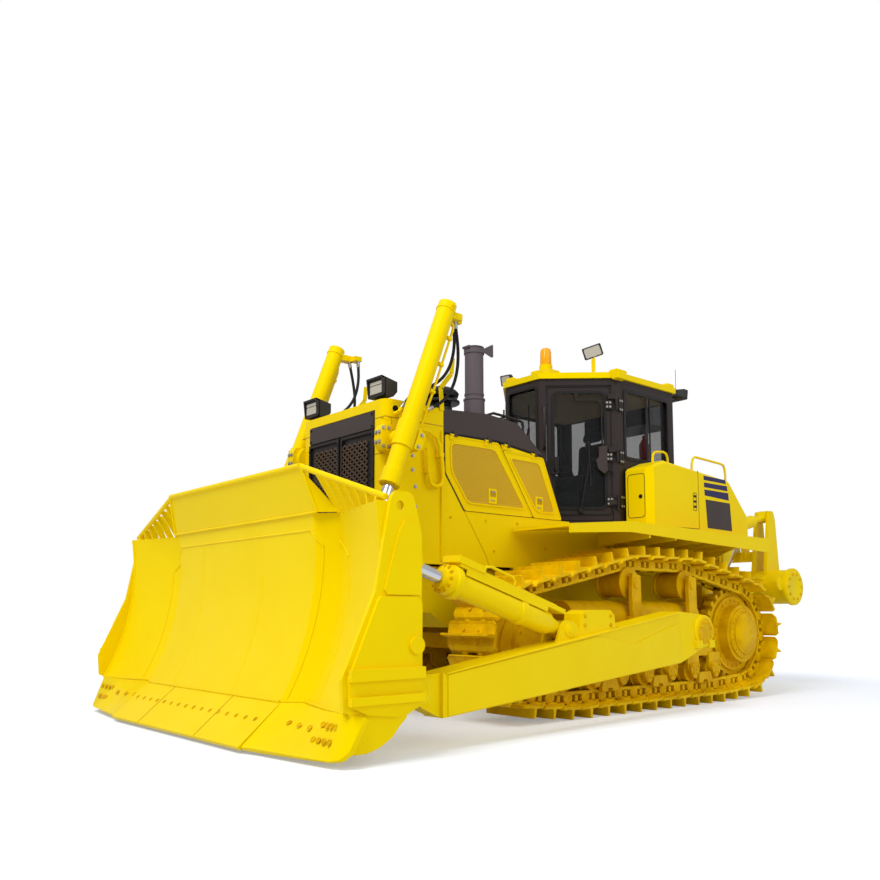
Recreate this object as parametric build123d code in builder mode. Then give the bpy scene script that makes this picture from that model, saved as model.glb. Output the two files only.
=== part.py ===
from build123d import *
import os
from math import radians, tan

# Crawler bulldozer with a sigma blade, a hexagonal cab and a single-shank parallelogram ripper.
# Millimetres. +X is forward, +Y is the operator's left, +Z is up, and the tracks stand on Z = 0.

os.makedirs("parts", exist_ok=True)

# ---- driving dimensions: undercarriage ----
wheelbase = 3275.0           # sprocket axle to idler axle
track_gauge = 2140.0         # centre to centre of the tracks
shoe_width = 560.0
track_pitch = 228.6          # nominal pin spacing of the chain, which sets the number of shoes
pin_height = 165.0           # chain pins above the ground under the rollers
grouser_reach = 165.0        # pin line to grouser tip
shoe_inner, shoe_outer = 58.0, 84.0      # shoe plate, measured outwards from the pin line
rail_depth = 52.0            # pin line to the rail face that the rollers run on
rail_gap, rail_outer = 60.0, 112.0       # inner and outer side of each rail from the chain's middle
sprocket_radius = 485.0      # pin circles of the wheels
idler_radius = 430.0
roller_radius = 110.0
carrier_radius = 128.0
sprocket_height = 680.0
idler_height = 640.0
carrier_height = 1175.0
running_gap = 0.3            # play between faces that run on each other

# ---- driving dimensions: tractor ----
hull_half = 460.0            # half width of the main case
hull_low, hull_top = 470.0, 1300.0
hood_half = 640.0            # half width of the hood, guard and side panels
skin = 25.0                  # thickness of doors and side panels
guard_height = 2660.0
cab_floor = 1800.0
cab_header = 3230.0          # top of the door openings
cab_top = 3300.0
cab_wall = 50.0
fender_half = track_gauge / 2 + shoe_width / 2      # the fenders end above the shoes' outer edge
tank_inner, tank_outer = 820.0, 1120.0

# ---- driving dimensions: blade ----
trunnion_ahead, trunnion_height = 1400.0, 730.0
arm_gap, arm_width = 100.0, 220.0          # shoes to push arm, and the arm's width
arm_inner = track_gauge / 2 + shoe_width / 2 + arm_gap
blade_overhang = 310.0       # push arm's outer face to the end of the moldboard
blade_half = arm_inner + arm_width + blade_overhang
end_plate, stiffener, wear_bar = 30.0, 25.0, 30.0
blade_extreme = blade_half + end_plate + stiffener + wear_bar
lift_y = hood_half + 200     # lift cylinders stand beside the guard
lift_barrel_radius, lift_rod_radius = 90.0, 45.0

# ---- driving dimensions: ripper ----
link_length_x, link_length_z = 800.0, 200.0     # lower arm and upper link, pin to pin
drum_radius, drum_half = 205.0, 1080.0

# ---- places along the machine ----
nose_reach = 2580.0          # cutting edge ahead of the idler axle
tail_reach = 2080.0          # ripper shank holder behind the sprocket axle
rear = -(wheelbase + nose_reach - tail_reach) / 2      # sprocket axle
front = rear + wheelbase                               # idler axle


def finish(builder, name):
    """Label a finished piece and write it to its own file."""
    builder.part.label = name
    export_step(builder.part, f"parts/{name}.step")


def face_on(plane, points):
    """Closed straight-sided outline on a plane."""
    with BuildSketch(plane) as outline:
        with BuildLine():
            Polyline(*points, close=True)
        make_face()
    return outline.sketch


def side_view(y):
    """Plane seen from the machine's side: local x is X, local y is Z, extrusion runs towards -Y."""
    return Plane(origin=(0, y, 0), x_dir=(1, 0, 0), z_dir=(0, -1, 0))


def front_view(x):
    """Plane seen from the front: local x is Y, local y is Z, extrusion runs towards +X."""
    return Plane(origin=(x, 0, 0), x_dir=(0, 1, 0), z_dir=(1, 0, 0))


def slab(points, y_low, y_high, mode=Mode.ADD):
    """Plate with a side-view outline between two heights of Y."""
    extrude(face_on(side_view(y_high), points), amount=y_high - y_low, mode=mode)


def block(x_low, x_high, y_low, y_high, z_low, z_high, mode=Mode.ADD):
    """Rectangular block given by its limits."""
    with Locations(((x_low + x_high) / 2, (y_low + y_high) / 2, (z_low + z_high) / 2)):
        Box(x_high - x_low, y_high - y_low, z_high - z_low, mode=mode)


def bar(start, end, radius, mode=Mode.ADD):
    """Round bar from one point to another."""
    run = Vector(*end) - Vector(*start)
    with BuildSketch(Plane(origin=start, z_dir=run)) as section:
        Circle(radius)
    extrude(section.sketch, amount=run.length, mode=mode)


def cross_bar(x, z, y_low, y_high, radius, mode=Mode.ADD):
    """Round bar or bore along Y."""
    bar((x, y_low, z), (x, y_high, z), radius, mode)


def mirrored(left, name):
    """The right-hand piece that mirrors a left-hand one."""
    with BuildPart() as right:
        add(mirror(left.part, about=Plane.XZ, mode=Mode.PRIVATE))
    finish(right, name)
    return right


def both_sides(left):
    """Add the mirror image to a left-hand piece, as a second solid or joined on the middle plane."""
    add(mirror(left, about=Plane.XZ, mode=Mode.PRIVATE))


# =====================================================================================
# Undercarriage
# =====================================================================================
roller_count = 7
roller_rear_x = rear + 530
roller_front_x = front - 466
carrier_ahead = (980.0, 1890.0)              # carrier rollers ahead of the sprocket axle
roller_height = pin_height + rail_depth + running_gap + roller_radius
wheel_circles = [
    # x, z, radius of the pin line around the wheel
    (rear, sprocket_height, sprocket_radius),
    (rear + carrier_ahead[0], carrier_height, carrier_radius + rail_depth),
    (rear + carrier_ahead[1], carrier_height, carrier_radius + rail_depth),
    (front, idler_height, idler_radius),
    (roller_front_x, roller_height, roller_height - pin_height),
    (roller_rear_x, roller_height, roller_height - pin_height),
]
roller_xs = [
    roller_rear_x + k * (roller_front_x - roller_rear_x) / (roller_count - 1)
    for k in range(roller_count)
]
track_y = track_gauge / 2


def chain_loop(outwards=0.0):
    """Flat face inside the pin line, or inside a line at a distance outwards from it."""
    with BuildSketch() as inside:
        for x, z, radius in wheel_circles:
            with Locations((x, z)):
                Circle(radius + outwards)
        make_hull(mode=Mode.REPLACE)
    return inside.sketch


loop = chain_loop().face().outer_wire()
shoe_count = round(loop.length / track_pitch)


def loop_band(inner, outer):
    """Band around the pin line between two distances outwards, drawn flat."""
    with BuildSketch() as band:
        add(chain_loop(outer))
        add(chain_loop(inner), mode=Mode.SUBTRACT)
    return band.sketch


# One shoe seen from its end: along the chain, outwards from the pin line.
grouser_root, grouser_tip = 34.0, 18.0
shoe_section = [
    (-grouser_root / 2, shoe_inner + 6),
    (grouser_root / 2, shoe_inner + 6),
    (grouser_tip / 2, grouser_reach),
    (-grouser_tip / 2, grouser_reach),
]
with BuildSketch() as shoes:
    add(loop_band(shoe_inner, shoe_outer))
    for k in range(shoe_count):
        at = loop.location_at((k + 0.5) / shoe_count)
        place = at.position
        along = loop.tangent_at((k + 0.5) / shoe_count)
        outward = Vector(along.Y, -along.X)
        if outward.dot(Vector(place.X - (rear + front) / 2, (place.Y - sprocket_height) * 3)) < 0:
            outward = -outward
        with BuildLine():
            Polyline(
                *[
                    (
                        place.X + along.X * s + outward.X * n,
                        place.Y + along.Y * s + outward.Y * n,
                    )
                    for s, n in shoe_section
                ],
                close=True,
            )
        make_face()

link_band = loop_band(-rail_depth, shoe_inner)


def on_side(sketch, y):
    """Place a flat side-view sketch on the side-view plane at y."""
    return side_view(y) * sketch


with BuildPart() as track_left:
    extrude(on_side(shoes.sketch, track_y + shoe_width / 2), amount=shoe_width)
    for low, high in ((rail_gap, rail_outer), (-rail_outer, -rail_gap)):
        extrude(on_side(link_band, track_y + high), amount=high - low)
finish(track_left, "track_left")
track_right = mirrored(track_left, "track_right")

sprocket_web = 2 * (rail_gap - 15)           # tooth ring width, free between the rails
tooth_count = 26
with BuildPart() as sprockets:
    with BuildSketch(side_view(track_y + sprocket_web / 2)) as tooth_ring:
        with Locations((rear, sprocket_height)):
            Circle(sprocket_radius - 45)
            with PolarLocations(sprocket_radius - 25, tooth_count):
                Rectangle(62, 50)
    extrude(tooth_ring.sketch, amount=sprocket_web)
    cross_bar(rear, sprocket_height, track_y - 270, track_y + 180, 300)
    cross_bar(rear, sprocket_height, track_y + 180, track_y + 225, 215)
    cross_bar(rear, sprocket_height, track_y + 225, track_y + 250, 130)
    both_sides(sprockets.part)
finish(sprockets, "sprockets")

roller_half = rail_outer + 12
bogie_half = roller_half + 3                # inner faces of the bogie plates from the chain's middle
idler_tread = idler_radius - rail_depth - running_gap
with BuildPart() as idlers:
    cross_bar(front, idler_height, track_y - rail_outer, track_y + rail_outer, idler_tread)
    cross_bar(front, idler_height, track_y - rail_gap + 10, track_y + rail_gap - 10, idler_tread + 40)
    hub_half = bogie_half - running_gap
    cross_bar(front, idler_height, track_y - hub_half, track_y + hub_half, 120)
    both_sides(idlers.part)
finish(idlers, "idlers")

with BuildPart() as track_rollers:
    for x in roller_xs:
        cross_bar(x, roller_height, track_y - roller_half, track_y + roller_half, roller_radius)
        cross_bar(x, roller_height, track_y - rail_gap + 8, track_y + rail_gap - 8, roller_radius + 22)
    both_sides(track_rollers.part)
finish(track_rollers, "track_rollers")

carrier_wheel = carrier_radius - running_gap
carrier_shaft = 34.0
with BuildPart() as carrier_rollers:
    for ahead in carrier_ahead:
        x = rear + ahead
        cross_bar(x, carrier_height, track_y - roller_half, track_y + roller_half, carrier_wheel)
        cross_bar(x, carrier_height, track_y + roller_half, track_y + roller_half + 60, carrier_shaft)
    both_sides(carrier_rollers.part)
finish(carrier_rollers, "carrier_rollers")

frame_half = 150.0
trunnion_x = rear + trunnion_ahead
trunnion_radius = 75.0
arm_bore = trunnion_radius + running_gap
tube_radius, tube_height = 150.0, 860.0
beam_low = roller_height + roller_radius + 30
beam_rear, beam_front = rear + 560, front - 560
with BuildPart() as track_frame_left:
    slab(
        [
            (beam_rear, beam_low), (beam_front, beam_low), (beam_front + 90, beam_low + 90),
            (beam_front + 90, 760), (beam_front, 800), (beam_rear + 60, 800), (beam_rear, 700),
        ],
        track_y - frame_half, track_y + frame_half,
    )
    bar((rear + 760, track_y, tube_height), (front - 560, track_y, tube_height), tube_radius)
    # bogie plates hold the roller axles from both sides
    for side_low in (track_y + bogie_half, track_y - bogie_half - 36):
        for x in roller_xs:
            slab(
                [
                    (x - 100, beam_low + 30), (x - 95, roller_height + 30), (x, roller_height - 95),
                    (x + 95, roller_height + 30), (x + 100, beam_low + 30),
                ],
                side_low, side_low + 36,
            )
        slab(
            [
                (front - 640, beam_low + 20), (front - 330, beam_low + 20), (front + 60, 560),
                (front + 100, idler_height), (front + 60, 720), (front - 640, 760),
            ],
            side_low, side_low + 36,
        )
    for x in roller_xs:
        cross_bar(x, roller_height, track_y - bogie_half - 36, track_y - roller_half - 0.3, 38)
        cross_bar(x, roller_height, track_y + roller_half + 0.3, track_y + bogie_half + 36, 38)
    # carrier roller brackets stand outside the chain
    for ahead in carrier_ahead:
        x = rear + ahead
        slab(
            [
                (x - 70, 800), (x - 60, carrier_height + 70), (x + 60, carrier_height + 90),
                (x + 75, carrier_height - 60), (x + 60, 800),
            ],
            track_y + roller_half + 60, track_y + roller_half + 100,
        )
        block(
            x - 70, x + 60, track_y + 100, track_y + roller_half + 100, 790, 870,
        )
    # trunnion that the push arm swings on
    cross_bar(trunnion_x, trunnion_height, track_y + frame_half - 10, arm_inner - 20, 110)
    cross_bar(trunnion_x, trunnion_height, arm_inner - 20, arm_inner + arm_width + 20, trunnion_radius)
    cross_bar(
        trunnion_x, trunnion_height, arm_inner + arm_width + 2, arm_inner + arm_width + 26, 118,
    )
finish(track_frame_left, "track_frame_left")
track_frame_right = mirrored(track_frame_left, "track_frame_right")

frame_inner = track_y - frame_half
equalizer_half = track_y - bogie_half - 36 - running_gap
with BuildPart() as equalizer_bar:
    slab(
        [
            (front - 560, 560), (front - 300, 560), (front - 300, 700), (front - 560, 700),
        ],
        -equalizer_half, equalizer_half,
    )
    block(front - 520, front - 340, -90, 90, 700, 770)
finish(equalizer_bar, "equalizer_bar")

# =====================================================================================
# Hull, engine, hood and guard
# =====================================================================================
fender_inner = hood_half + 20
fender_plate = 25.0
fender_points = [(rear - 420, 1712), (rear + 2030, 1740), (rear + 2870, 1665)]
fender_skirt = [(rear + 2870, 1585), (rear + 2030, 1640), (rear - 420, 1560)]


def fender_top(x):
    """Height of the fender's top at a place behind its bend."""
    (x0, z0), (x1, z1) = fender_points[:2]
    return z0 + (z1 - z0) * (x - x0) / (x1 - x0)


nose_x = front + 875
rear_face = rear - 350
final_drive_radius = 300.0
pivot_x, pivot_height = rear + 980, 700.0
with BuildPart() as main_frame:
    slab(
        [
            (rear_face, 560), (rear + 0, hull_low), (front - 640, hull_low), (front - 570, 770),
            (front + 220, 770), (front + 420, 900), (nose_x, 900), (nose_x, hull_top),
            (rear_face, hull_top),
        ],
        -hull_half, hull_half,
    )
    block(rear_face, rear + 1400, -600, 600, hull_top, 1690)
    cross_bar(rear, sprocket_height, hull_half, track_y - 270, final_drive_radius)
    cross_bar(pivot_x, pivot_height, hull_half, frame_inner, 95)
    # cab mounts and fender brackets
    for x, y in ((rear + 620, 520), (rear + 1340, 520), (rear + 1900, 150)):
        bar((x, y, hull_top), (x, y, cab_floor - 50), 70)
    for x in (rear - 250, rear + 500, rear + 1250):
        top = fender_top(x) - fender_plate
        with BuildSketch(front_view(x)) as gusset:
            with BuildLine():
                Polyline((590, 1330), (590, top), (fender_half - 60, top), (fender_half - 60, top - 45))
                ThreePointArc((fender_half - 60, top - 45), (900, 1552), (590, 1330))
            make_face()
        extrude(gusset.sketch, amount=30)
    block(rear - 340, rear + 420, 300, 600, 1680, 1740)
    both_sides(main_frame.part)
finish(main_frame, "main_frame")

engine_rear, engine_top = front - 620, 2330.0
with BuildPart() as engine:
    block(engine_rear, front + 320, -400, 400, hull_top, engine_top)
finish(engine, "engine")

guard_front = front + 1055
guard_rear = front + 425
guard_wall = 60.0
yoke_x, yoke_height = front + 1005, 2310.0
yoke_pin = 60.0
panel_top = 1785.0
panel_low = 1310.0
hose_radius, fitting_radius = 14.0, 19.0
# routes of the left lift hoses, from the elbow on the guard to the port on the barrel
hose_routes = [
    [
        (rear + 3930, 695, 2610), (rear + 3850, 706, 2645), (rear + 3770, 722, 2705),
        (rear + 3705, 740, 2790), (rear + 3665, 757, 2895), (rear + 3648, 772, 3020),
        (rear + 3655, 785, 3150), (rear + 3677, 793, 3275), (rear + 3705, 798, 3400),
    ],
    [
        (rear + 4200, 690, 2580), (rear + 4140, 691, 2670), (rear + 4050, 694, 2735),
        (rear + 3945, 700, 2785), (rear + 3840, 706, 2845), (rear + 3750, 712, 2925),
        (rear + 3685, 716, 3030), (rear + 3650, 719, 3150), (rear + 3640, 721, 3275),
        (rear + 3652, 722, 3400),
    ],
]
with BuildPart() as radiator_guard:
    slab(
        [
            (front - 110, panel_low), (guard_front, panel_low), (guard_front, guard_height),
            (guard_rear, guard_height), (guard_rear, 2110), (front + 185, panel_top),
            (front - 75, 1400),
        ],
        -hood_half, hood_half,
    )
    fillet(
        radiator_guard.edges().filter_by(Axis.Z).sort_by(Axis.X)[-2:], 80,
    )
    block(
        front - 200, guard_front - guard_wall, -hood_half + guard_wall, hood_half - guard_wall,
        panel_low - 50, guard_height - guard_wall, mode=Mode.SUBTRACT,
    )
    block(
        guard_front - guard_wall - 10, guard_front + 10, -500, 500, 1420, guard_height - 80,
        mode=Mode.SUBTRACT,
    )
    for side in (1, -1):
        low, high = sorted((side * (hood_half - guard_wall), side * (hood_half + 60)))
        cross_bar(yoke_x, yoke_height, low, high, 115)
        low, high = sorted((side * hood_half, side * (hood_half + 61)))
        cross_bar(yoke_x, yoke_height, low, high, yoke_pin + running_gap, mode=Mode.SUBTRACT)
        # elbows that the lift hoses start from
        for route in hose_routes:
            start, toward = (Vector(*point) for point in route[:2])
            knee = start - (toward - start).normalized() * 48
            inner, outer = side * (hood_half - 40), side * (knee.Y + 6)
            bar((knee.X, inner, knee.Z), (knee.X, outer, knee.Z), fitting_radius)
            bar((knee.X, side * knee.Y, knee.Z), (start.X, side * start.Y, start.Z), fitting_radius)
finish(radiator_guard, "radiator_guard")

# ---- hood cover, side panels and doors ----
stack_x, stack_top = engine_rear + 85, 3540.0
stack_radius, sleeve_radius, sleeve_top = 94.0, 104.0, 3010.0
cleaner_x = front - 95
hood_rear_low = rear + 2440
hood_outline = [
    (guard_rear, 2448), (guard_rear, 2660), (cleaner_x, 2695), (stack_x + 50, 2665),
    (hood_rear_low, 2402), (hood_rear_low, 2388), (rear + 3030, 2457),
]
hood_inside = [
    (guard_rear, 2400), (guard_rear, 2640), (cleaner_x - 5, 2668), (stack_x + 60, 2640),
    (hood_rear_low + 30, 2385), (hood_rear_low + 30, 2350), (rear + 3030, 2400),
]

hinge_y, hinge_pin = hood_half + 12, 7.0
# hinge line of a door: start, end, both (X, Z), and the places of its knuckles along it
front_hinge = ((rear + 3060, 2441.0), (front + 395, 2441.0))
rear_hinge = ((rear + 2470, 2376.0), (rear + 3005, 2438.0))


def hinge_point(line, share, y=None):
    """Point along a hinge line."""
    (x0, z0), (x1, z1) = line
    return (x0 + (x1 - x0) * share, hinge_y if y is None else y, z0 + (z1 - z0) * share)


def hinge_lines():
    """Both hinge lines with the places of their two knuckle pairs."""
    return [(line, share) for line in (front_hinge, rear_hinge) for share in (0.12, 0.8)]


def tab(line, first, last, low, high, side, mode=Mode.ADD):
    """Flat tab beside a hinge line, from one share of it to another."""
    (xa, _, za), (xb, _, zb) = hinge_point(line, first), hinge_point(line, last)
    y_low, y_high = sorted((side * hood_half, side * hinge_y))
    slab([(xa, za + low), (xb, zb + low), (xb, zb + high), (xa, za + high)], y_low, y_high, mode)


knuckle = 11.0
knuckle_share = 0.07
with BuildPart() as hood_cover:
    slab(hood_outline, -hood_half, hood_half)
    slab(hood_inside, -hood_half + skin, hood_half - skin, mode=Mode.SUBTRACT)
    bar((stack_x, 0, 2300), (stack_x, 0, 2800), sleeve_radius + running_gap, mode=Mode.SUBTRACT)
    for side in (1, -1):
        for line, share in hinge_lines():
            ends = [hinge_point(line, share + k * knuckle_share, side * hinge_y) for k in (0, 1, 2)]
            bar(ends[0], ends[1], knuckle)
            bar(ends[0], ends[2], hinge_pin)
            tab(line, share, share + knuckle_share, 0, 36, side)
finish(hood_cover, "hood_cover")


def door_knuckles(line):
    """Knuckles of an engine door, round the hood's hinge pins."""
    for share in (0.12, 0.8):
        start = hinge_point(line, share + 1.05 * knuckle_share)
        end = hinge_point(line, share + 2 * knuckle_share)
        bar(start, end, knuckle)
        tab(line, share + 1.05 * knuckle_share, share + 2 * knuckle_share, -40, 0, 1)
        bar(
            hinge_point(line, share + knuckle_share), hinge_point(line, share + 2.1 * knuckle_share),
            hinge_pin + running_gap, mode=Mode.SUBTRACT,
        )


front_door_outline = [
    (guard_rear - 16, 2438), (rear + 3036, 2443), (rear + 2590, panel_top + 6),
    (front + 178, panel_top + 6), (guard_rear - 22, 2110),
]
rear_door_outline = [
    # the front corner is cut back, so that the door's inner edge swings past the front door
    (rear + 2979, 2382), (rear + 2996, 2438), (hood_rear_low + 4, 2374), (rear + 2190, panel_top + 6),
    (rear + 2576, panel_top + 6),
]
with BuildPart() as engine_door_front_left:
    slab(front_door_outline, hood_half - skin, hood_half)
    door_knuckles(front_hinge)
finish(engine_door_front_left, "engine_door_front_left")
engine_door_front_right = mirrored(engine_door_front_left, "engine_door_front_right")
with BuildPart() as engine_door_rear_left:
    slab(rear_door_outline, hood_half - skin, hood_half)
    door_knuckles(rear_hinge)
finish(engine_door_rear_left, "engine_door_rear_left")
engine_door_rear_right = mirrored(engine_door_rear_left, "engine_door_rear_right")

with BuildPart() as side_panels:
    slab(
        [
            (rear + 1500, panel_low), (front - 118, panel_low), (front - 83, 1402),
            (front + 178, panel_top), (rear + 2070, panel_top), (rear + 2070, cab_floor - 60),
            (rear + 1500, cab_floor - 60),
        ],
        hood_half - skin, hood_half,
    )
    block(rear + 1500, rear + 1700, hull_half - 30, hood_half - skin, hull_top, 1400)
    block(front - 700, front - 630, hull_half - 30, hood_half - skin, hull_top, 1400)
    both_sides(side_panels.part)
finish(side_panels, "side_panels")

with BuildPart() as exhaust_stack:
    bar((stack_x, 0, engine_top), (stack_x, 0, sleeve_top), sleeve_radius)
    bar((stack_x, 0, sleeve_top), (stack_x, 0, stack_top), stack_radius)
    bar((stack_x, 0, sleeve_top + 45), (stack_x, 0, sleeve_top + 65), stack_radius + 5)
    bar((stack_x, 0, stack_top - 60), (stack_x, 0, stack_top - 15), stack_radius + 9)
    bar((stack_x, 0, 2760), (stack_x, 0, stack_top + 1), stack_radius - 8, mode=Mode.SUBTRACT)
    # rain cap on its hinge, with the counterweight plate behind
    bar((stack_x, 0, stack_top), (stack_x, 0, stack_top + 8), stack_radius + 6)
    slab(
        [
            (stack_x - 85, stack_top), (stack_x - 250, stack_top + 92),
            (stack_x - 262, stack_top + 84), (stack_x - 262, stack_top - 36),
            (stack_x - 248, stack_top - 42), (stack_x - 140, stack_top - 12),
        ],
        -6, 6,
    )
    cross_bar(stack_x + stack_radius + 12, stack_top - 4, -45, 45, 14)
    block(stack_x - 110, stack_x - 80, -16, 16, stack_top - 40, stack_top + 8)
finish(exhaust_stack, "exhaust_stack")

with BuildPart() as air_precleaner:
    with BuildSketch(Plane.XZ) as bowl:
        with BuildLine():
            Polyline((0, 2695), (110, 2695), (110, 2860), (98, 2880), (98, 2950), (165, 2965), (175, 3000))
            ThreePointArc((175, 3000), (128, 3044), (60, 3064))
            Polyline((60, 3064), (0, 3064), (0, 2695))
        make_face()
    revolve(bowl.sketch.moved(Location((cleaner_x, 0, 0))), axis=Axis((cleaner_x, 0, 0), (0, 0, 1)))
finish(air_precleaner, "air_precleaner")

grille_half, grille_low, grille_top = 500.0, 1420.0, guard_height - 80
with BuildPart() as grille_door:
    block(guard_front - 35, guard_front - 5, -grille_half, grille_half, grille_low, grille_top)
finish(grille_door, "grille_door")

# =====================================================================================
# Cab
# =====================================================================================
cab_front_x, cab_front_half = rear + 2050, 250.0
cab_mid_x, cab_half = rear + 1470, 790.0
cab_rear_x = rear + 500


def cab_plan(grow=0.0):
    """Hexagonal plan of the cab, grown outwards by a margin."""
    run = Vector(cab_front_x - cab_mid_x, cab_front_half - cab_half)
    slope = run.normalized()
    # the slanted side moves out along its normal; its ends stay on the front, side and rear planes
    front_y = cab_front_half + grow * (1 + slope.Y) / slope.X
    mid_x = cab_mid_x + grow * (1 - slope.X) / -slope.Y
    return [
        (cab_front_x + grow, front_y), (mid_x, cab_half + grow), (cab_rear_x - grow, cab_half + grow),
        (cab_rear_x - grow, -cab_half - grow), (mid_x, -cab_half - grow), (cab_front_x + grow, -front_y),
    ]


door_run = Vector(cab_front_x - cab_mid_x, cab_front_half - cab_half)
door_length = door_run.length
door_plane_left = Plane(
    origin=(cab_mid_x, cab_half, 0), x_dir=tuple(door_run.normalized()), z_dir=(door_run.Y, -door_run.X, 0)
)
door_hinge = (20.0, 30.0)          # hinge axis: along the door face, outside it
door_hinge_pin = 8.0
door_hinge_heights = (1960, 2500, 3050)


def on_door(along, outside, side=1):
    """Plan point given along the slanted door face and outside it."""
    unit = door_run.normalized()
    return (
        cab_mid_x + unit.X * along - unit.Y * outside,
        side * (cab_half + unit.Y * along + unit.X * outside),
    )


post = 62.0
door_low = cab_floor + 25
window_low = 2480.0
with BuildPart() as cab_frame:
    extrude(face_on(Plane.XY.offset(cab_floor - 50), cab_plan()), amount=cab_top - cab_floor + 50)
    extrude(
        face_on(Plane.XY.offset(cab_floor), cab_plan(-cab_wall)), amount=cab_top - cab_floor + 1,
        mode=Mode.SUBTRACT,
    )
    # windscreen, rear window, side windows
    block(cab_front_x - 90, cab_front_x + 20, -cab_front_half + 45, cab_front_half - 45, 2330,
          cab_header, mode=Mode.SUBTRACT)
    block(cab_rear_x - 20, cab_rear_x + 90, -cab_half + 130, cab_half - 130, window_low, cab_header - 40,
          mode=Mode.SUBTRACT)
    for low, high in ((-cab_half - 20, -cab_half + 90), (cab_half - 90, cab_half + 20)):
        block(cab_rear_x + 100, cab_mid_x - 110, low, high, window_low, cab_header - 40,
              mode=Mode.SUBTRACT)
    # door openings on the two slanted faces
    for mirror_side in (False, True):
        opening = extrude(
            face_on(
                door_plane_left.offset(-150),
                [
                    (post, door_low), (door_length - post, door_low), (door_length - post, cab_header),
                    (post, cab_header),
                ],
            ),
            amount=300, mode=Mode.PRIVATE,
        )
        add(mirror(opening, about=Plane.XZ, mode=Mode.PRIVATE) if mirror_side else opening,
            mode=Mode.SUBTRACT)
    for side in (1, -1):
        for z in door_hinge_heights:
            axis = on_door(*door_hinge, side)
            bar((*axis, z - 25), (*axis, z + 25), 14)
            bar((*axis, z - 25), (*axis, z + 76), door_hinge_pin)
            extrude(
                face_on(
                    Plane.XY.offset(z - 25),
                    [on_door(s, n, side) for s, n in ((8, -1), (32, -1), (32, 30), (8, 30))],
                ),
                amount=50,
            )
    # air conditioner on the rear wall
    block(cab_rear_x - 460, cab_rear_x + 10, -450, 450, 3020, 3250)
finish(cab_frame, "cab_frame")

door_gap = 6.0
door_frame_width = 70.0
door_rear, door_front, door_high = post + door_gap, door_length - post - door_gap, cab_header - door_gap
pane_rear, pane_front = post + door_frame_width, door_length - post - door_frame_width
pane_low, pane_high = door_low + 130, cab_header - 75
door_pane = [(pane_rear, pane_low), (pane_front, pane_low), (pane_front, pane_high), (pane_rear, pane_high)]
with BuildPart() as cab_door_left:
    extrude(
        face_on(
            door_plane_left.offset(5),
            [
                (door_rear, door_low + door_gap), (door_front, door_low + door_gap),
                (door_front, door_high), (door_rear, door_high),
            ],
        ),
        amount=40,
    )
    extrude(face_on(door_plane_left.offset(-5), door_pane), amount=60, mode=Mode.SUBTRACT)
    for z in door_hinge_heights:
        extrude(
            face_on(
                Plane.XY.offset(z + 26),
                [on_door(s, n) for s, n in ((20, 22), (80, 22), (80, -5), (104, -5), (104, 38), (20, 38))],
            ),
            amount=50,
        )
        axis = on_door(*door_hinge)
        bar((*axis, z + 26), (*axis, z + 76), 14)
        bar((*axis, z + 26), (*axis, z + 76), door_hinge_pin + running_gap, mode=Mode.SUBTRACT)
finish(cab_door_left, "cab_door_left")
cab_door_right = mirrored(cab_door_left, "cab_door_right")
with BuildPart() as door_glass_left:
    extrude(face_on(door_plane_left.offset(22), door_pane), amount=8)
finish(door_glass_left, "door_glass_left")
door_glass_right = mirrored(door_glass_left, "door_glass_right")

with BuildPart() as cab_glass:
    block(cab_front_x - 30, cab_front_x - 22, -cab_front_half + 45, cab_front_half - 45, 2330, cab_header)
    block(cab_rear_x + 22, cab_rear_x + 30, -cab_half + 130, cab_half - 130, window_low, cab_header - 40)
    for low in (-cab_half + 22, cab_half - 30):
        block(cab_rear_x + 100, cab_mid_x - 110, low, low + 8, window_low, cab_header - 40)
finish(cab_glass, "cab_glass")

with BuildPart() as cab_roof:
    extrude(face_on(Plane.XY.offset(cab_top), cab_plan(25)), amount=60)
    extrude(face_on(Plane.XY.offset(cab_top + 60), cab_plan(-90)), amount=30)
finish(cab_roof, "cab_roof")

seat_x = rear + 1180
with BuildPart() as operator_seat:
    block(seat_x - 260, seat_x + 260, -250, 250, 2260, 2380)
    block(seat_x - 330, seat_x - 200, -250, 250, 2380, 2950)
finish(operator_seat, "operator_seat")
with BuildPart() as seat_console:
    block(seat_x - 220, seat_x + 220, -200, 200, cab_floor, 2259.7)
    block(seat_x - 250, seat_x + 300, 330, 480, cab_floor, 2450)
    block(seat_x - 250, seat_x + 300, -480, -330, cab_floor, 2450)
    block(cab_front_x - 300, cab_front_x - 60, -180, 180, cab_floor, 2300)
finish(seat_console, "seat_console")

lamp_z = 3500.0
tank_deck = 2355.4           # deck between the side tanks, at the feet of the rear lamps
with BuildPart() as work_lamps:
    for side in (1, -1):
        low, high = side * 500 - 110, side * 500 + 110
        slab(
            [
                (guard_front + 15, guard_height + 195), (guard_front - 5, guard_height + 30),
                (guard_front - 110, guard_height + 30), (guard_front - 150, guard_height + 75),
                (guard_front - 150, guard_height + 160),
            ],
            low, high,
        )
        block(guard_front - 18, guard_front + 20, low + 14, high - 14, guard_height + 44, guard_height + 176,
              mode=Mode.SUBTRACT)
        block(guard_front - 80, guard_front - 40, side * 500 - 40, side * 500 + 40, guard_height,
              guard_height + 30)
        # lamps on the cab's front corners, on the tank behind the cab and at the cab's rear
        for x, y, z, half, foot in (
            (rear + 1650, 540, lamp_z, 90, cab_top + 60), (rear + 60, 660, 2430, 100, tank_deck),
        ):
            block(x - 40, x + 40, side * y - half, side * y + half, z - 55, z + 55)
            block(x - 10, x + 10, side * y - 20, side * y + 20, foot, z - 55)
        x, y, z = rear + 120, 560, 3380
        block(x - 60, x + 60, side * y - 140, side * y + 140, z - 60, z + 60)
        block(x + 60, cab_rear_x - 25, side * y - 20, side * y + 20, z - 60, z - 40)
finish(work_lamps, "work_lamps")
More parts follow.
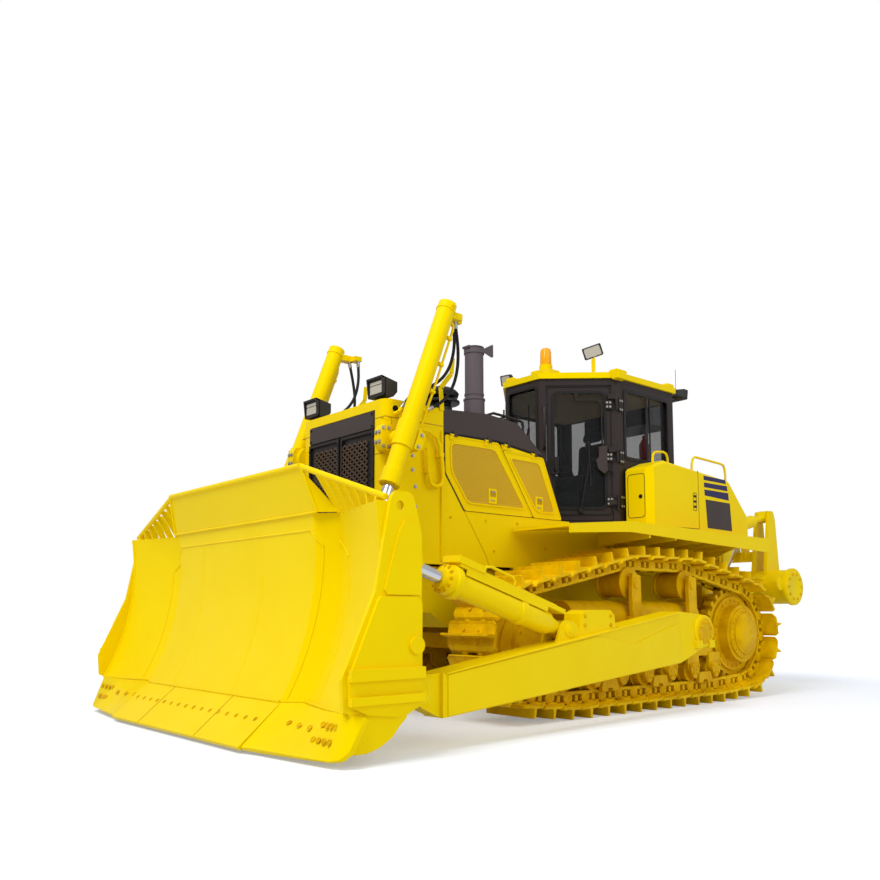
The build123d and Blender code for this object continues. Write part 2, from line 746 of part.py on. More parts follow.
with BuildPart() as beacon:
    block(rear + 1600, rear + 1760, -75, 75, cab_top + 90, 3560)
    bar((rear + 1680, 0, 3560), (rear + 1680, 0, 3770), 65)
finish(beacon, "beacon")

# =====================================================================================
# Fenders and tanks
# =====================================================================================
with BuildPart() as fenders:
    underside = [(x, z - fender_plate) for x, z in reversed(fender_points)]
    slab(fender_points + underside, fender_inner, fender_half)
    slab(fender_points + fender_skirt, fender_half - 22, fender_half)
    both_sides(fenders.part)
finish(fenders, "fenders")


tank_front, tank_rear = rear + 1400, rear - 400
tank_outline = [
    (tank_front, fender_top(tank_front)), (tank_front, 2330), (tank_front - 30, 2360), (rear + 1150, 2440),
    (rear - 10, 2350), (rear - 260, 2100), (tank_rear, 1960), (tank_rear, fender_top(tank_rear)),
]
tank_chamfer, tank_round = 65.0, 35.0
with BuildPart() as left_side_tank:
    slab(tank_outline, tank_inner, tank_outer)
    outside = left_side_tank.faces().sort_by(Axis.Y)[-1].edges()
    tops = outside.filter_by(lambda edge: edge.center().Z > 2335 and edge.center().X < tank_front - 40)
    fillet(tops, tank_round)
    with BuildSketch(Plane.XY.offset(1500)) as corner:
        with BuildLine():
            Polyline(
                (tank_front - tank_chamfer, tank_outer + 1), (tank_front + 1, tank_outer - tank_chamfer),
                (tank_front + 1, tank_outer + 1), close=True,
            )
        make_face()
    extrude(corner.sketch, amount=1000, mode=Mode.SUBTRACT)
finish(left_side_tank, "left_side_tank")
right_side_tank = mirrored(left_side_tank, "right_side_tank")
with BuildPart() as fuel_tank:
    slab(
        [
            (rear + 440, 1740), (rear + 440, 2380), (rear - 10, 2350), (rear - 260, 2100),
            (tank_rear, 1960), (tank_rear, 1740),
        ],
        -tank_inner, tank_inner,
    )
finish(fuel_tank, "fuel_tank")

# =====================================================================================
# Blade
# =====================================================================================
blade_face_x = front + 2025                    # upper edge of the front face on the middle part
edge_top = (front + 2255, 310.0)               # where the cutting edge bolts on
edge_run = Vector(310, -265).normalized()      # down the middle cutting edge
edge_thick = 35.0
blade_back = [
    (edge_top[0] + edge_run.Y * 76, edge_top[1] - edge_run.X * 76), (front + 1835, 255),
    (front + 1785, 420), (front + 1785, 640), (front + 1945, 760), (front + 1940, 1380), (front + 1845, 1440),
    (front + 1845, 1590),
]
# plan of the sigma blade: distance from the middle, forward offset
blade_plan = [(1100.0, 0.0), (1250.0, -120.0), (blade_half + 50, 100.0)]
middle_half, wing_start = (y for y, _ in blade_plan[:2])


def plan_shift(y):
    """Forward offset of the blade's section at a distance from the middle."""
    if y <= blade_plan[0][0]:
        return 0.0
    for (y0, x0), (y1, x1) in zip(blade_plan, blade_plan[1:]):
        if y <= y1:
            break
    return x0 + (x1 - x0) * (y - y0) / (y1 - y0)


eye_x, eye_height, eye_radius = front + 1960, 1565.0, 30.0      # lifting eyes in the end plates

with BuildPart() as moldboard:
    for y in (-blade_half, -wing_start, -middle_half, middle_half, wing_start, blade_half):
        ahead = plan_shift(abs(y))
        top, middle, low, *back = [
            (x + ahead, z)
            for x, z in ((blade_face_x, 1590), (blade_face_x, 950), edge_top, *blade_back)
        ]
        with BuildSketch(side_view(y)):
            with BuildLine():
                ThreePointArc(top, middle, low)
                Polyline(low, *back, top)
            make_face()
    loft(ruled=True)
    for side in (1, -1):
        low, high = sorted((side * (blade_half - 90), side * (blade_half + 1)))
        block(eye_x - 60, eye_x + 60, low, high, eye_height - 50, 1591, mode=Mode.SUBTRACT)
finish(moldboard, "moldboard")

edge_reach = 45.0
with BuildPart() as cutting_edge:
    back = (edge_run.Y * edge_thick, -edge_run.X * edge_thick)
    tip = (edge_top[0] + edge_run.X * 407, edge_top[1] + edge_run.Y * 407)
    slab(
        [
            edge_top, tip, (tip[0] + back[0], tip[1] + back[1]),
            (edge_top[0] + back[0], edge_top[1] + back[1]),
        ],
        -middle_half, middle_half,
    )
    # wing plates: distance from the middle, tip ahead of the idler axle
    wing_tips = [(middle_half + 6, 2530), (wing_start, 2450), (blade_half - 260, 2405), (blade_extreme, 2337)]
    for pair in zip(wing_tips, wing_tips[1:]):
        for y, tip_x in pair:
            x = edge_top[0] + plan_shift(y)
            with BuildSketch(side_view(y)):
                with BuildLine():
                    Polyline(
                        (x, edge_top[1]), (front + tip_x, edge_reach),
                        (front + tip_x + back[0], edge_reach + back[1]),
                        (x + back[0], edge_top[1] + back[1]), close=True,
                    )
                make_face()
        loft(ruled=True)
    both_sides(cutting_edge.part)
finish(cutting_edge, "cutting_edge")

# spill guard: middle plate, sloping rims from its corners to the blade's ends, and slats under the rims
rim_inner, rim_outer = (front + 2112, 1070.0, 1915.0), (front + 2045, blade_half - 5, 1615.0)
rim_radius, slat_count, slat_thick, slat_depth = 21.0, 7, 16.0, 62.0
slat_first, slat_end = wing_start, 82.0      # first slat from the middle, last one from the blade's end
guard_rise = Vector(100, 0, 340).normalized()
guard_plane = Plane(
    origin=(blade_face_x, 0, 1590), x_dir=(0, 1, 0), z_dir=(guard_rise.Z, 0, -guard_rise.X)
)
with BuildPart() as spill_guard:
    extrude(face_on(guard_plane, [(-1170, 0), (1170, 0), (1090, 354), (-1090, 354)]), amount=-20)
    bar(
        (rim_inner[0] + 4, -rim_inner[1] - 10, rim_inner[2] + 2),
        (rim_inner[0] + 4, rim_inner[1] + 10, rim_inner[2] + 2), rim_radius,
    )
    for side in (1, -1):
        inner, outer = ((x, side * y, z) for x, y, z in (rim_inner, rim_outer))
        bar(inner, outer, rim_radius)
        for k in range(slat_count):
            y = slat_first + k * (blade_half - slat_end - slat_first) / (slat_count - 1)
            share = (y - rim_inner[1]) / (rim_outer[1] - rim_inner[1])
            foot = blade_face_x + plan_shift(y)
            head = rim_inner[0] + (rim_outer[0] - rim_inner[0]) * share
            head_z = rim_inner[2] + (rim_outer[2] - rim_inner[2]) * share
            slab(
                [
                    (foot - slat_depth, 1570), (foot - 4, 1570),
                    (head + 12, head_z), (head - slat_depth, head_z),
                ],
                *sorted((side * (y - slat_thick / 2), side * (y + slat_thick / 2))),
            )
    add(moldboard.part, mode=Mode.SUBTRACT)
finish(spill_guard, "spill_guard")

with BuildPart() as end_plates:
    slab(
        [
            (front + 2035, 1590), (front + 2145, 1030), (front + 2385, 510), (front + 2370, 330),
            (front + 2225, 270), (front + 1985, 240), (front + 1785, 330), (front + 1785, 1400),
            (front + 1860, 1655), (front + 2010, 1655),
        ],
        blade_half, blade_half + end_plate,
    )
    fillet(end_plates.edges().filter_by(Axis.Y).group_by(Axis.Z)[-1], 60)
    cross_bar(eye_x, eye_height, blade_half - 1, blade_half + end_plate + 1, eye_radius, mode=Mode.SUBTRACT)
    # stiffener plates, upper and lower, with the wear bars and the arm pin's boss on them
    outer = blade_half + end_plate
    slab(
        [
            (front + 1800, 1010), (front + 1800, 1390), (front + 1835, 1470), (front + 1935, 1470),
            (front + 1985, 1380), (front + 2085, 1040), (front + 2060, 1010),
        ],
        outer, outer + stiffener - 10,
    )
    slab(
        [
            (front + 1800, 350), (front + 1800, 960), (front + 1840, 1000), (front + 2115, 1000),
            (front + 2140, 975), (front + 2345, 520), (front + 2340, 360), (front + 2215, 300),
            (front + 1985, 275),
        ],
        outer, outer + stiffener,
    )
    for low, high in ((360, 410), (500, 570)):
        block(front + 1795, front + 2350, outer + stiffener - 1, blade_extreme, low, high)
    cross_bar(front + 1850, 700, outer, blade_extreme - 10, 55)
    both_sides(end_plates.part)
finish(end_plates, "end_plates")

arm_front_y = blade_half - 290
arm_pin_x, arm_pin_height = front + 1685, 400.0
with BuildPart() as push_arm_left:
    with BuildSketch(Plane(origin=(rear + 1770, 0, 0), x_dir=(0, 1, 0), z_dir=(1, 0, 0))):
        with Locations((arm_inner + arm_width / 2, 680)):
            Rectangle(arm_width, 460)
    with BuildSketch(Plane(origin=(front + 1505, 0, 0), x_dir=(0, 1, 0), z_dir=(1, 0, 0))):
        with Locations((arm_front_y + 100, 360)):
            Rectangle(200, 290)
    loft(ruled=True)
    slab(
        [
            (trunnion_x, trunnion_height + 150), (rear + 1770, 910), (rear + 1770, 450),
            (trunnion_x, trunnion_height - 150),
        ],
        arm_inner, arm_inner + arm_width,
    )
    cross_bar(trunnion_x, trunnion_height, arm_inner, arm_inner + arm_width, 150)
    cross_bar(trunnion_x, trunnion_height, arm_inner, arm_inner + arm_width, arm_bore, mode=Mode.SUBTRACT)
    slab(
        [(front + 1505, 505), (arm_pin_x, 500), (arm_pin_x, 300), (front + 1505, 215)],
        arm_front_y + 30, arm_front_y + 170,
    )
    cross_bar(arm_pin_x, arm_pin_height, arm_front_y + 30, arm_front_y + 170, 100)
    cross_bar(arm_pin_x, arm_pin_height, arm_front_y + 30, arm_front_y + 170, 50.3, mode=Mode.SUBTRACT)
finish(push_arm_left, "push_arm_left")
push_arm_right = mirrored(push_arm_left, "push_arm_right")

# lugs on the blade's back: push arms, lift rods, tilt cylinder and brace
lift_eye_x, lift_eye_height = front + 1555, 870.0
tilt_y = blade_half - 280
tilt_lug = (front + 1675, 1450.0)
with BuildPart() as blade_lugs:
    for side_low in (arm_front_y - 2, arm_front_y + 175):
        slab(
            [
                (arm_pin_x - 95, 330), (arm_pin_x - 95, 470), (arm_pin_x, 505),
                (front + 1850, 600), (front + 1850, 400), (arm_pin_x, 295),
            ],
            side_low, side_low + 27,
        )
    cross_bar(arm_pin_x, arm_pin_height, arm_front_y - 2, arm_front_y + 202, 50)
    for side_low in (lift_y - 91, lift_y + 51):
        slab(
            [
                (lift_eye_x - 70, 800), (lift_eye_x - 70, 930), (front + 1942, 1080), (front + 1945, 760),
                (front + 1785, 640),
            ],
            side_low, side_low + 40,
        )
    for side_low in (tilt_y - 75, tilt_y + 45):
        slab(
            [
                (tilt_lug[0] - 60, 1400), (tilt_lug[0] - 60, 1500), (front + 1900, 1560),
                (front + 1980, 1330),
            ],
            side_low, side_low + 30,
        )
    cross_bar(tilt_lug[0], tilt_lug[1], tilt_y - 70, tilt_y + 70, 35)
    add(moldboard.part, mode=Mode.SUBTRACT)
    both_sides(blade_lugs.part)
finish(blade_lugs, "blade_lugs")


def arm_top(x):
    """Height of the push arm's top face."""
    share = (x - rear - 1770) / (front + 1505 - rear - 1770)
    return 910 + (505 - 910) * share


foot_y, foot_rise = arm_inner + 205, 103.2      # foot pin of the tilt cylinder, above the arm
tilt_foot = (front - 255, arm_top(front - 255) + foot_rise)


def brace_bracket(side):
    """Bracket on the push arm that the tilt cylinder or the brace stands on."""
    for low in (foot_y - 70, foot_y + 40):
        slab(
            [
                (tilt_foot[0] - 130, arm_top(tilt_foot[0] - 130)), (tilt_foot[0] - 60, tilt_foot[1] + 50),
                (tilt_foot[0] + 50, tilt_foot[1] + 65), (tilt_foot[0] + 130, arm_top(tilt_foot[0] + 130)),
            ],
            *sorted((side * low, side * (low + 30))),
        )


def brace_ends(side):
    """Eyes, pins and bracket that the tilt cylinder and the brace share; returns foot, eye and run."""
    foot = Vector(tilt_foot[0], side * foot_y, tilt_foot[1])
    eye = Vector(tilt_lug[0], side * tilt_y, tilt_lug[1])
    for x, z, y, radius in ((*tilt_foot, foot_y, 80), (*tilt_lug, tilt_y, 75)):
        cross_bar(x, z, *sorted((side * (y - 39), side * (y + 39))), radius)
    cross_bar(*tilt_lug, *sorted((side * (tilt_y - 40), side * (tilt_y + 40))), 35.3, mode=Mode.SUBTRACT)
    brace_bracket(side)
    cross_bar(*tilt_foot, *sorted((side * (foot_y - 70), side * (foot_y + 70))), 35)
    return foot, eye, eye - foot


with BuildPart() as tilt_cylinder:
    foot, eye, run = brace_ends(1)
    bar(tuple(foot + run * 0.03), tuple(foot + run * 0.66), 85)
    bar(tuple(foot + run * 0.62), tuple(foot + run * 0.68), 102)
    bar(tuple(foot + run * 0.28), tuple(foot + run * 0.31), 96)
    bar(tuple(foot + run * 0.6), tuple(foot + run * 0.96), 42)
    # guard rail along the top of the barrel
    across = Vector(0, 1, 0)
    square = run.normalized().cross(across)
    with BuildSketch(Plane(origin=tuple(foot + run * 0.2), x_dir=(0, 1, 0), z_dir=run)) as rail:
        with Locations((0, -104 if square.Z < 0 else 104)):
            Rectangle(90, 44)
    extrude(rail.sketch, amount=run.length * 0.46)
finish(tilt_cylinder, "tilt_cylinder")
with BuildPart() as blade_brace:
    foot, eye, run = brace_ends(-1)
    bar(tuple(foot + run * 0.03), tuple(foot + run * 0.96), 42)
    bar(tuple(foot + run * 0.3), tuple(foot + run * 0.62), 70)
finish(blade_brace, "blade_brace")

# ---- lift cylinders ----
lift_pivot = Vector(yoke_x, lift_y, yoke_height)
lift_eye = Vector(lift_eye_x, lift_y, lift_eye_height)
lift_dir = (lift_eye - lift_pivot).normalized()
lift_gland = lift_pivot + lift_dir * 440
barrel_top = lift_pivot - lift_dir * 1290
with BuildPart() as lift_barrel_left:
    bar(tuple(barrel_top), tuple(lift_gland), lift_barrel_radius)
    bar(tuple(lift_gland - lift_dir * 60), tuple(lift_gland), lift_barrel_radius + 15)
    cross_bar(yoke_x, yoke_height, lift_y - 100, lift_y + 100, 125)
    bar(
        tuple(lift_gland - lift_dir * 1620), tuple(lift_gland + lift_dir), lift_rod_radius + 0.5,
        mode=Mode.SUBTRACT,
    )
    cross_bar(yoke_x, yoke_height, hood_half + 5, lift_y - 95, yoke_pin)
    bar(tuple(barrel_top + lift_dir * 60), tuple(barrel_top + lift_dir * 80), lift_barrel_radius + 6)
    # ports at the back of the barrel that the hoses end in
    for route, inner in zip(hose_routes, (lift_y - 62, lift_y - 138)):
        before, end = (Vector(*point) for point in route[-2:])
        ferrule = end + (end - before).normalized() * 50
        bar(tuple(end), tuple(ferrule), fitting_radius)
        axis_x = yoke_x + lift_dir.X / lift_dir.Z * (ferrule.Z - yoke_height)
        block(ferrule.X - 28, axis_x - 20, inner, lift_y - 30, ferrule.Z - 12, ferrule.Z + 38)
finish(lift_barrel_left, "lift_barrel_left")
lift_barrel_right = mirrored(lift_barrel_left, "lift_barrel_right")
with BuildPart() as lift_rod_left:
    bar(tuple(lift_gland - lift_dir * 620), tuple(lift_eye - lift_dir * 60), lift_rod_radius)
    cross_bar(lift_eye_x, lift_eye_height, lift_y - 50, lift_y + 50, 75)
finish(lift_rod_left, "lift_rod_left")
lift_rod_right = mirrored(lift_rod_left, "lift_rod_right")

# ---- lift hoses, each a bent run from its elbow on the guard to its port on the barrel ----
def hose_run(points):
    """Tube along a route, with arcs as large as its runs allow."""
    corners = [Vector(*point) for point in points]
    radii = []
    for before, here, after in zip(corners, corners[1:], corners[2:]):
        turn = (here - before).get_angle(after - here)
        shorter = min((here - before).length, (after - here).length)
        radii.append(0.45 * shorter / tan(radians(turn / 2)))
    with BuildLine() as line:
        FilletPolyline(*points, radius=radii)
    with BuildSketch(Plane(origin=points[0], z_dir=corners[1] - corners[0])) as section:
        Circle(hose_radius)
    return sweep(section.sketch, path=line.wires()[0], mode=Mode.PRIVATE), line.wires()[0].length, radii


for hose_place, route in zip(("rear", "front"), hose_routes):
    tube, hose_length, radii = hose_run(route)
    print(hose_place, "hose: length", round(hose_length), "least radius", round(min(radii)),
          "volume share", round(tube.volume / (3.14159265 * hose_radius**2 * hose_length), 4))
    with BuildPart() as lift_hose:
        add(tube)
    finish(lift_hose, f"lift_hose_left_{hose_place}")
    mirrored(lift_hose, f"lift_hose_right_{hose_place}")

# =====================================================================================
# Ripper
# =====================================================================================
lower_pin = (rear - 440, 1040.0)
upper_pin = (rear - 730, 1885.0)
beam_pin = (lower_pin[0] - link_length_x, lower_pin[1] + link_length_z)
tower_pin = (upper_pin[0] - link_length_x, upper_pin[1] + link_length_z)
lift_foot = (rear - 480, 700.0)
lift_head = (rear - 1520, 1800.0)
ripper_lift_y = 350.0
with BuildPart() as ripper_bracket:
    block(rear_face - 50, rear_face, -785, 785, 620, 1650)
    # pockets for the lower arms' front eyes
    for side in (1, -1):
        low, high = sorted((side * 545, side * 752))
        block(rear_face - 51, rear_face + 1, low, high, 940, 1240, mode=Mode.SUBTRACT)
    for low in (500, 755):
        slab(
            [
                (rear_face - 50, 850), (lower_pin[0] - 60, 960), (lower_pin[0] - 90, 1040),
                (lower_pin[0] - 60, 1120), (rear_face - 50, 1250),
            ],
            low, low + 40 if low < 600 else low + 30,
        )
    for low in (600, 765):
        slab(
            [
                (rear_face - 50, 1300), (upper_pin[0] - 20, 1800), (upper_pin[0] - 80, 1885),
                (upper_pin[0] - 20, 1965), (upper_pin[0] + 60, 1965), (rear_face - 50, 1640),
            ],
            low, low + 35,
        )
    for low in (ripper_lift_y - 75, ripper_lift_y + 50):
        slab(
            [
                (rear_face - 50, 620), (lift_foot[0] - 60, 650), (lift_foot[0] - 60, 740),
                (rear_face - 50, 860),
            ],
            low, low + 25,
        )
    cross_bar(*lower_pin, 500, 785, 45)
    cross_bar(*upper_pin, 600, 800, 40)
    cross_bar(*lift_foot, ripper_lift_y - 75, ripper_lift_y + 75, 35)
    both_sides(ripper_bracket.part)
finish(ripper_bracket, "ripper_bracket")

with BuildPart() as ripper_arms:
    slab(
        [
            (lower_pin[0], lower_pin[1] + 80), (lower_pin[0], lower_pin[1] - 80),
            (beam_pin[0], beam_pin[1] - 80), (beam_pin[0], beam_pin[1] + 80),
        ],
        560, 740,
    )
    for pin in (lower_pin, beam_pin):
        cross_bar(*pin, 560, 740, 80)
        cross_bar(*pin, 560, 740, 45.3, mode=Mode.SUBTRACT)
    both_sides(ripper_arms.part)
finish(ripper_arms, "ripper_arms")

drum = (rear - 1500, 1210.0)
with BuildPart() as ripper_beam:
    cross_bar(*drum, -drum_half, drum_half, drum_radius)
    for side in (1, -1):
        low_y, high_y = sorted((side * 545, side * 755))
        cross_bar(*beam_pin, low_y, high_y, 95, mode=Mode.SUBTRACT)
    for side in (1, -1):
        for low, thick in ((500, 40), (760, 40)):
            low_y, high_y = sorted((side * low, side * (low + thick)))
            slab(
                [
                    (drum[0], drum[1] + 150), (beam_pin[0], beam_pin[1] + 85),
                    (beam_pin[0] + 85, beam_pin[1]),
                    (beam_pin[0], beam_pin[1] - 85), (drum[0], drum[1] - 150),
                ],
                low_y, high_y,
            )
        low_y, high_y = sorted((side * 500, side * 800))
        cross_bar(*beam_pin, low_y, high_y, 45)
        for low, thick in ((600, 40), (760, 40)):
            low_y, high_y = sorted((side * low, side * (low + thick)))
            slab(
                [
                    (drum[0] + 150, drum[1] + 120), (tower_pin[0] + 70, tower_pin[1] - 40),
                    (tower_pin[0] + 40, tower_pin[1] + 65), (tower_pin[0] - 40, tower_pin[1] + 65),
                    (tower_pin[0] - 80, tower_pin[1] - 40), (drum[0] - 190, drum[1] + 50),
                ],
                low_y, high_y,
            )
        low_y, high_y = sorted((side * 600, side * 800))
        cross_bar(*tower_pin, low_y, high_y, 40)
        for low, thick in ((ripper_lift_y - 75, 25), (ripper_lift_y + 50, 25)):
            low_y, high_y = sorted((side * low, side * (low + thick)))
            slab(
                [
                    (rear - 1650, 1560), (rear - 1530, 1560), (lift_head[0] + 70, lift_head[1] - 50),
                    (lift_head[0] + 60, lift_head[1] + 60), (lift_head[0] - 60, lift_head[1] + 60),
                    (rear - 1650, 1660),
                ],
                low_y, high_y,
            )
    block(rear - 1650, rear - 1530, -600, 600, 1540, 1660)
    block(rear - 2080, rear - 1640, -110, 110, 1000, 1450)
    block(rear - 2010.3, rear - 1729.7, -45.3, 45.3, 990, 1460, mode=Mode.SUBTRACT)
finish(ripper_beam, "ripper_beam")

shank_width = 90.0
with BuildPart() as ripper_shank:
    slab(
        [
            (rear - 2010, 1500), (rear - 1730, 1500), (rear - 1730, 900), (rear - 1640, 520),
            (rear - 1560, 340), (rear - 1700, 380), (rear - 1850, 560), (rear - 2010, 900),
        ],
        -shank_width / 2, shank_width / 2,
    )
finish(ripper_shank, "ripper_shank")

with BuildPart() as ripper_tilt_cylinders:
    for side in (1, -1):
        lower = Vector(upper_pin[0], side * 700, upper_pin[1])
        upper = Vector(tower_pin[0], side * 700, tower_pin[1])
        run = upper - lower
        bar(tuple(lower + run * 0.08), tuple(lower + run * 0.18), 50)
        bar(tuple(lower + run * 0.16), tuple(lower + run * 0.62), 75)
        bar(tuple(lower + run * 0.5), tuple(upper - run * 0.08), 38)
        low_y, high_y = sorted((side * 645, side * 755))
        for pin in (upper_pin, tower_pin):
            cross_bar(*pin, low_y, high_y, 75)
            cross_bar(*pin, low_y, high_y, 40.3, mode=Mode.SUBTRACT)
finish(ripper_tilt_cylinders, "ripper_tilt_cylinders")

foot = Vector(lift_foot[0], 0, lift_foot[1])
head = Vector(lift_head[0], 0, lift_head[1])
ripper_run = (head - foot).normalized()
ripper_gland = 812.0
with BuildPart() as ripper_lift_barrels:
    for side in (1, -1):
        shift = Vector(0, side * ripper_lift_y, 0)
        bar(tuple(foot + shift + ripper_run * 73), tuple(foot + shift + ripper_run * ripper_gland), 75)
        bar(
            tuple(foot + shift + ripper_run * 92),
            tuple(foot + shift + ripper_run * (ripper_gland + 1)), 38.5, mode=Mode.SUBTRACT,
        )
        low_y, high_y = sorted((side * (ripper_lift_y - 45), side * (ripper_lift_y + 45)))
        cross_bar(*lift_foot, low_y, high_y, 74)
        cross_bar(*lift_foot, low_y, high_y, 35 + running_gap, mode=Mode.SUBTRACT)
finish(ripper_lift_barrels, "ripper_lift_barrels")
with BuildPart() as ripper_lift_rods:
    for side in (1, -1):
        shift = Vector(0, side * ripper_lift_y, 0)
        bar(tuple(foot + shift + ripper_run * (ripper_gland - 96)), tuple(head + shift - ripper_run * 50), 38)
        low_y, high_y = sorted((side * (ripper_lift_y - 40), side * (ripper_lift_y + 40)))
        cross_bar(*lift_head, low_y, high_y, 65)
finish(ripper_lift_rods, "ripper_lift_rods")
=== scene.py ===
"""Looks of a crawler bulldozer: finishes for the carried frame and the fittings that ride on it.

Metres. +X is forward, +Y is the operator's left, +Z is up. Places along the machine are measured
ahead of the sprocket axle, as in the frame.
"""
import logging
import math
from dataclasses import dataclass
from enum import Enum
from typing import Optional, Sequence

import bmesh
import bpy
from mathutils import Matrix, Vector


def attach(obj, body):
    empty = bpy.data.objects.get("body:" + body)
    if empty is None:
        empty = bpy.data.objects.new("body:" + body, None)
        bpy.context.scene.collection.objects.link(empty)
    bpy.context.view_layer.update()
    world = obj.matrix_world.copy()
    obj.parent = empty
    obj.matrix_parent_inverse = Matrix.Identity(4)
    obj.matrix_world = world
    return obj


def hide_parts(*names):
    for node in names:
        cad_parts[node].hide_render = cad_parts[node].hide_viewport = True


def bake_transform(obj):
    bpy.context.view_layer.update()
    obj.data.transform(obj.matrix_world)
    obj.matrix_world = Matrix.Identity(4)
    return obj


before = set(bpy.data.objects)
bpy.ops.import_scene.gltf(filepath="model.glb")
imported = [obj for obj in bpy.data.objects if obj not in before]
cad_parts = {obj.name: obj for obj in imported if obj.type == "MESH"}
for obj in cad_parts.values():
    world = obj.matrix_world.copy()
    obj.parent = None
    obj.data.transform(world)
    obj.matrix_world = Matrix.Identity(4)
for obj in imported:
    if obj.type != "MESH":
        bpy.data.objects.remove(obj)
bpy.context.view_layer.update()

log = logging.getLogger("bulldozer")
Point = tuple[float, float, float]
Outline = Sequence[tuple[float, float]]
Corners = tuple[tuple[float, float], ...]
Place = tuple[Vector, Vector, Vector]   # point, outward direction and along direction

# ---- places along the machine, as the frame has them ----
REAR = -1.8875                      # sprocket axle
TRACK_Y = 1.07                      # middle of each track
LEFT, RIGHT = 1, -1
SIDES = ((LEFT, "left"), (RIGHT, "right"))
AHEAD, ACROSS, UP = Vector((1, 0, 0)), Vector((0, 1, 0)), Vector((0, 0, 1))
ORIGIN = Vector((0, 0, 0))


def at(ahead: float, y: float, z: float) -> Vector:
    """Point given by its distance ahead of the sprocket axle."""
    return Vector((REAR + ahead, y, z))


def outward(side: int) -> Vector:
    """Unit vector out of one side of the machine."""
    return Vector((0, side, 0))


def placed(name: str, data: bpy.types.ID) -> bpy.types.Object:
    """New object of some mesh, curve, lamp or camera data, linked to the scene."""
    made = bpy.data.objects.new(name, data)
    bpy.context.scene.collection.objects.link(made)
    return made


def evaluated(thing: bpy.types.Object) -> bpy.types.Mesh:
    """Copy of an object's mesh with its modifiers applied."""
    return bpy.data.meshes.new_from_object(thing.evaluated_get(bpy.context.evaluated_depsgraph_get()))


# =====================================================================================
# Finishes
# =====================================================================================
def srgb(code: str) -> tuple[float, float, float, float]:
    """Linear colour of an sRGB hex value.

    Args:
        code: six hex digits, with or without a leading #.

    Returns:
        Linear red, green, blue and an alpha of 1.
    """
    digits = code.lstrip("#")
    channels = [int(digits[i:i + 2], 16) / 255 for i in (0, 2, 4)]
    linear = [c / 12.92 if c <= 0.04045 else ((c + 0.055) / 1.055) ** 2.4 for c in channels]
    return (linear[0], linear[1], linear[2], 1.0)


def node(tree: bpy.types.NodeTree, kind: str, settings: Optional[dict] = None,
         sockets: Optional[dict] = None) -> bpy.types.Node:
    """Add one node with its settings, socket values and links.

    Args:
        tree: the tree that gets the node.
        kind: the node's type name.
        settings: attributes of the node.
        sockets: input name or index to a value, or to the output socket that feeds it.

    Returns:
        The new node.
    """
    made = tree.nodes.new(kind)
    for name, value in (settings or {}).items():
        setattr(made, name, value)
    for name, value in (sockets or {}).items():
        if isinstance(value, bpy.types.NodeSocket):
            tree.links.new(value, made.inputs[name])
        else:
            made.inputs[name].default_value = value
    return made


def emboss(tree: bpy.types.NodeTree, shader: bpy.types.Node, height: bpy.types.NodeSocket,
           strength: float, distance: float) -> None:
    """Give a shader relief.

    Args:
        tree: the shader's tree.
        shader: the shader.
        height: output socket that the relief follows.
        strength: share of the full relief.
        distance: height of the full relief, in metres.
    """
    relief = node(tree, "ShaderNodeBump",
                  sockets={"Height": height, "Strength": strength, "Distance": distance})
    tree.links.new(relief.outputs["Normal"], shader.inputs["Normal"])


@dataclass(frozen=True)
class Finish:
    """A surface finish; subclasses say what covers the metal or plastic below."""

    name: str
    colour: str
    roughness: float = 0.4
    metallic: float = 0.0
    gloss: float = 0.3              # specular level, 0.5 for a plain varnish
    sheen: Optional[str] = None     # tint of the gloss, for a paint that shines in its own colour
    slot: str = "yellow"            # the record's material slot; not used

    def material(self) -> bpy.types.Material:
        """The Blender material of this finish, made once."""
        known = bpy.data.materials.get(self.name)
        if known:
            return known
        made = bpy.data.materials.new(self.name)
        made.use_nodes = True
        made.diffuse_color = srgb(self.colour)
        tree = made.node_tree
        shader = tree.nodes["Principled BSDF"]
        shader.inputs["Base Color"].default_value = srgb(self.colour)
        shader.inputs["Roughness"].default_value = self.roughness
        shader.inputs["Metallic"].default_value = self.metallic
        shader.inputs["Specular IOR Level"].default_value = self.gloss
        shader.inputs["Specular Tint"].default_value = srgb(self.sheen or "#FFFFFF")
        where = node(tree, "ShaderNodeTexCoord").outputs["Object"]
        self.dress(tree, shader, where)
        return made

    def dress(self, tree: bpy.types.NodeTree, shader: bpy.types.Node,
              where: bpy.types.NodeSocket) -> None:
        """Add the pattern and relief of the finish; a plain finish has none."""


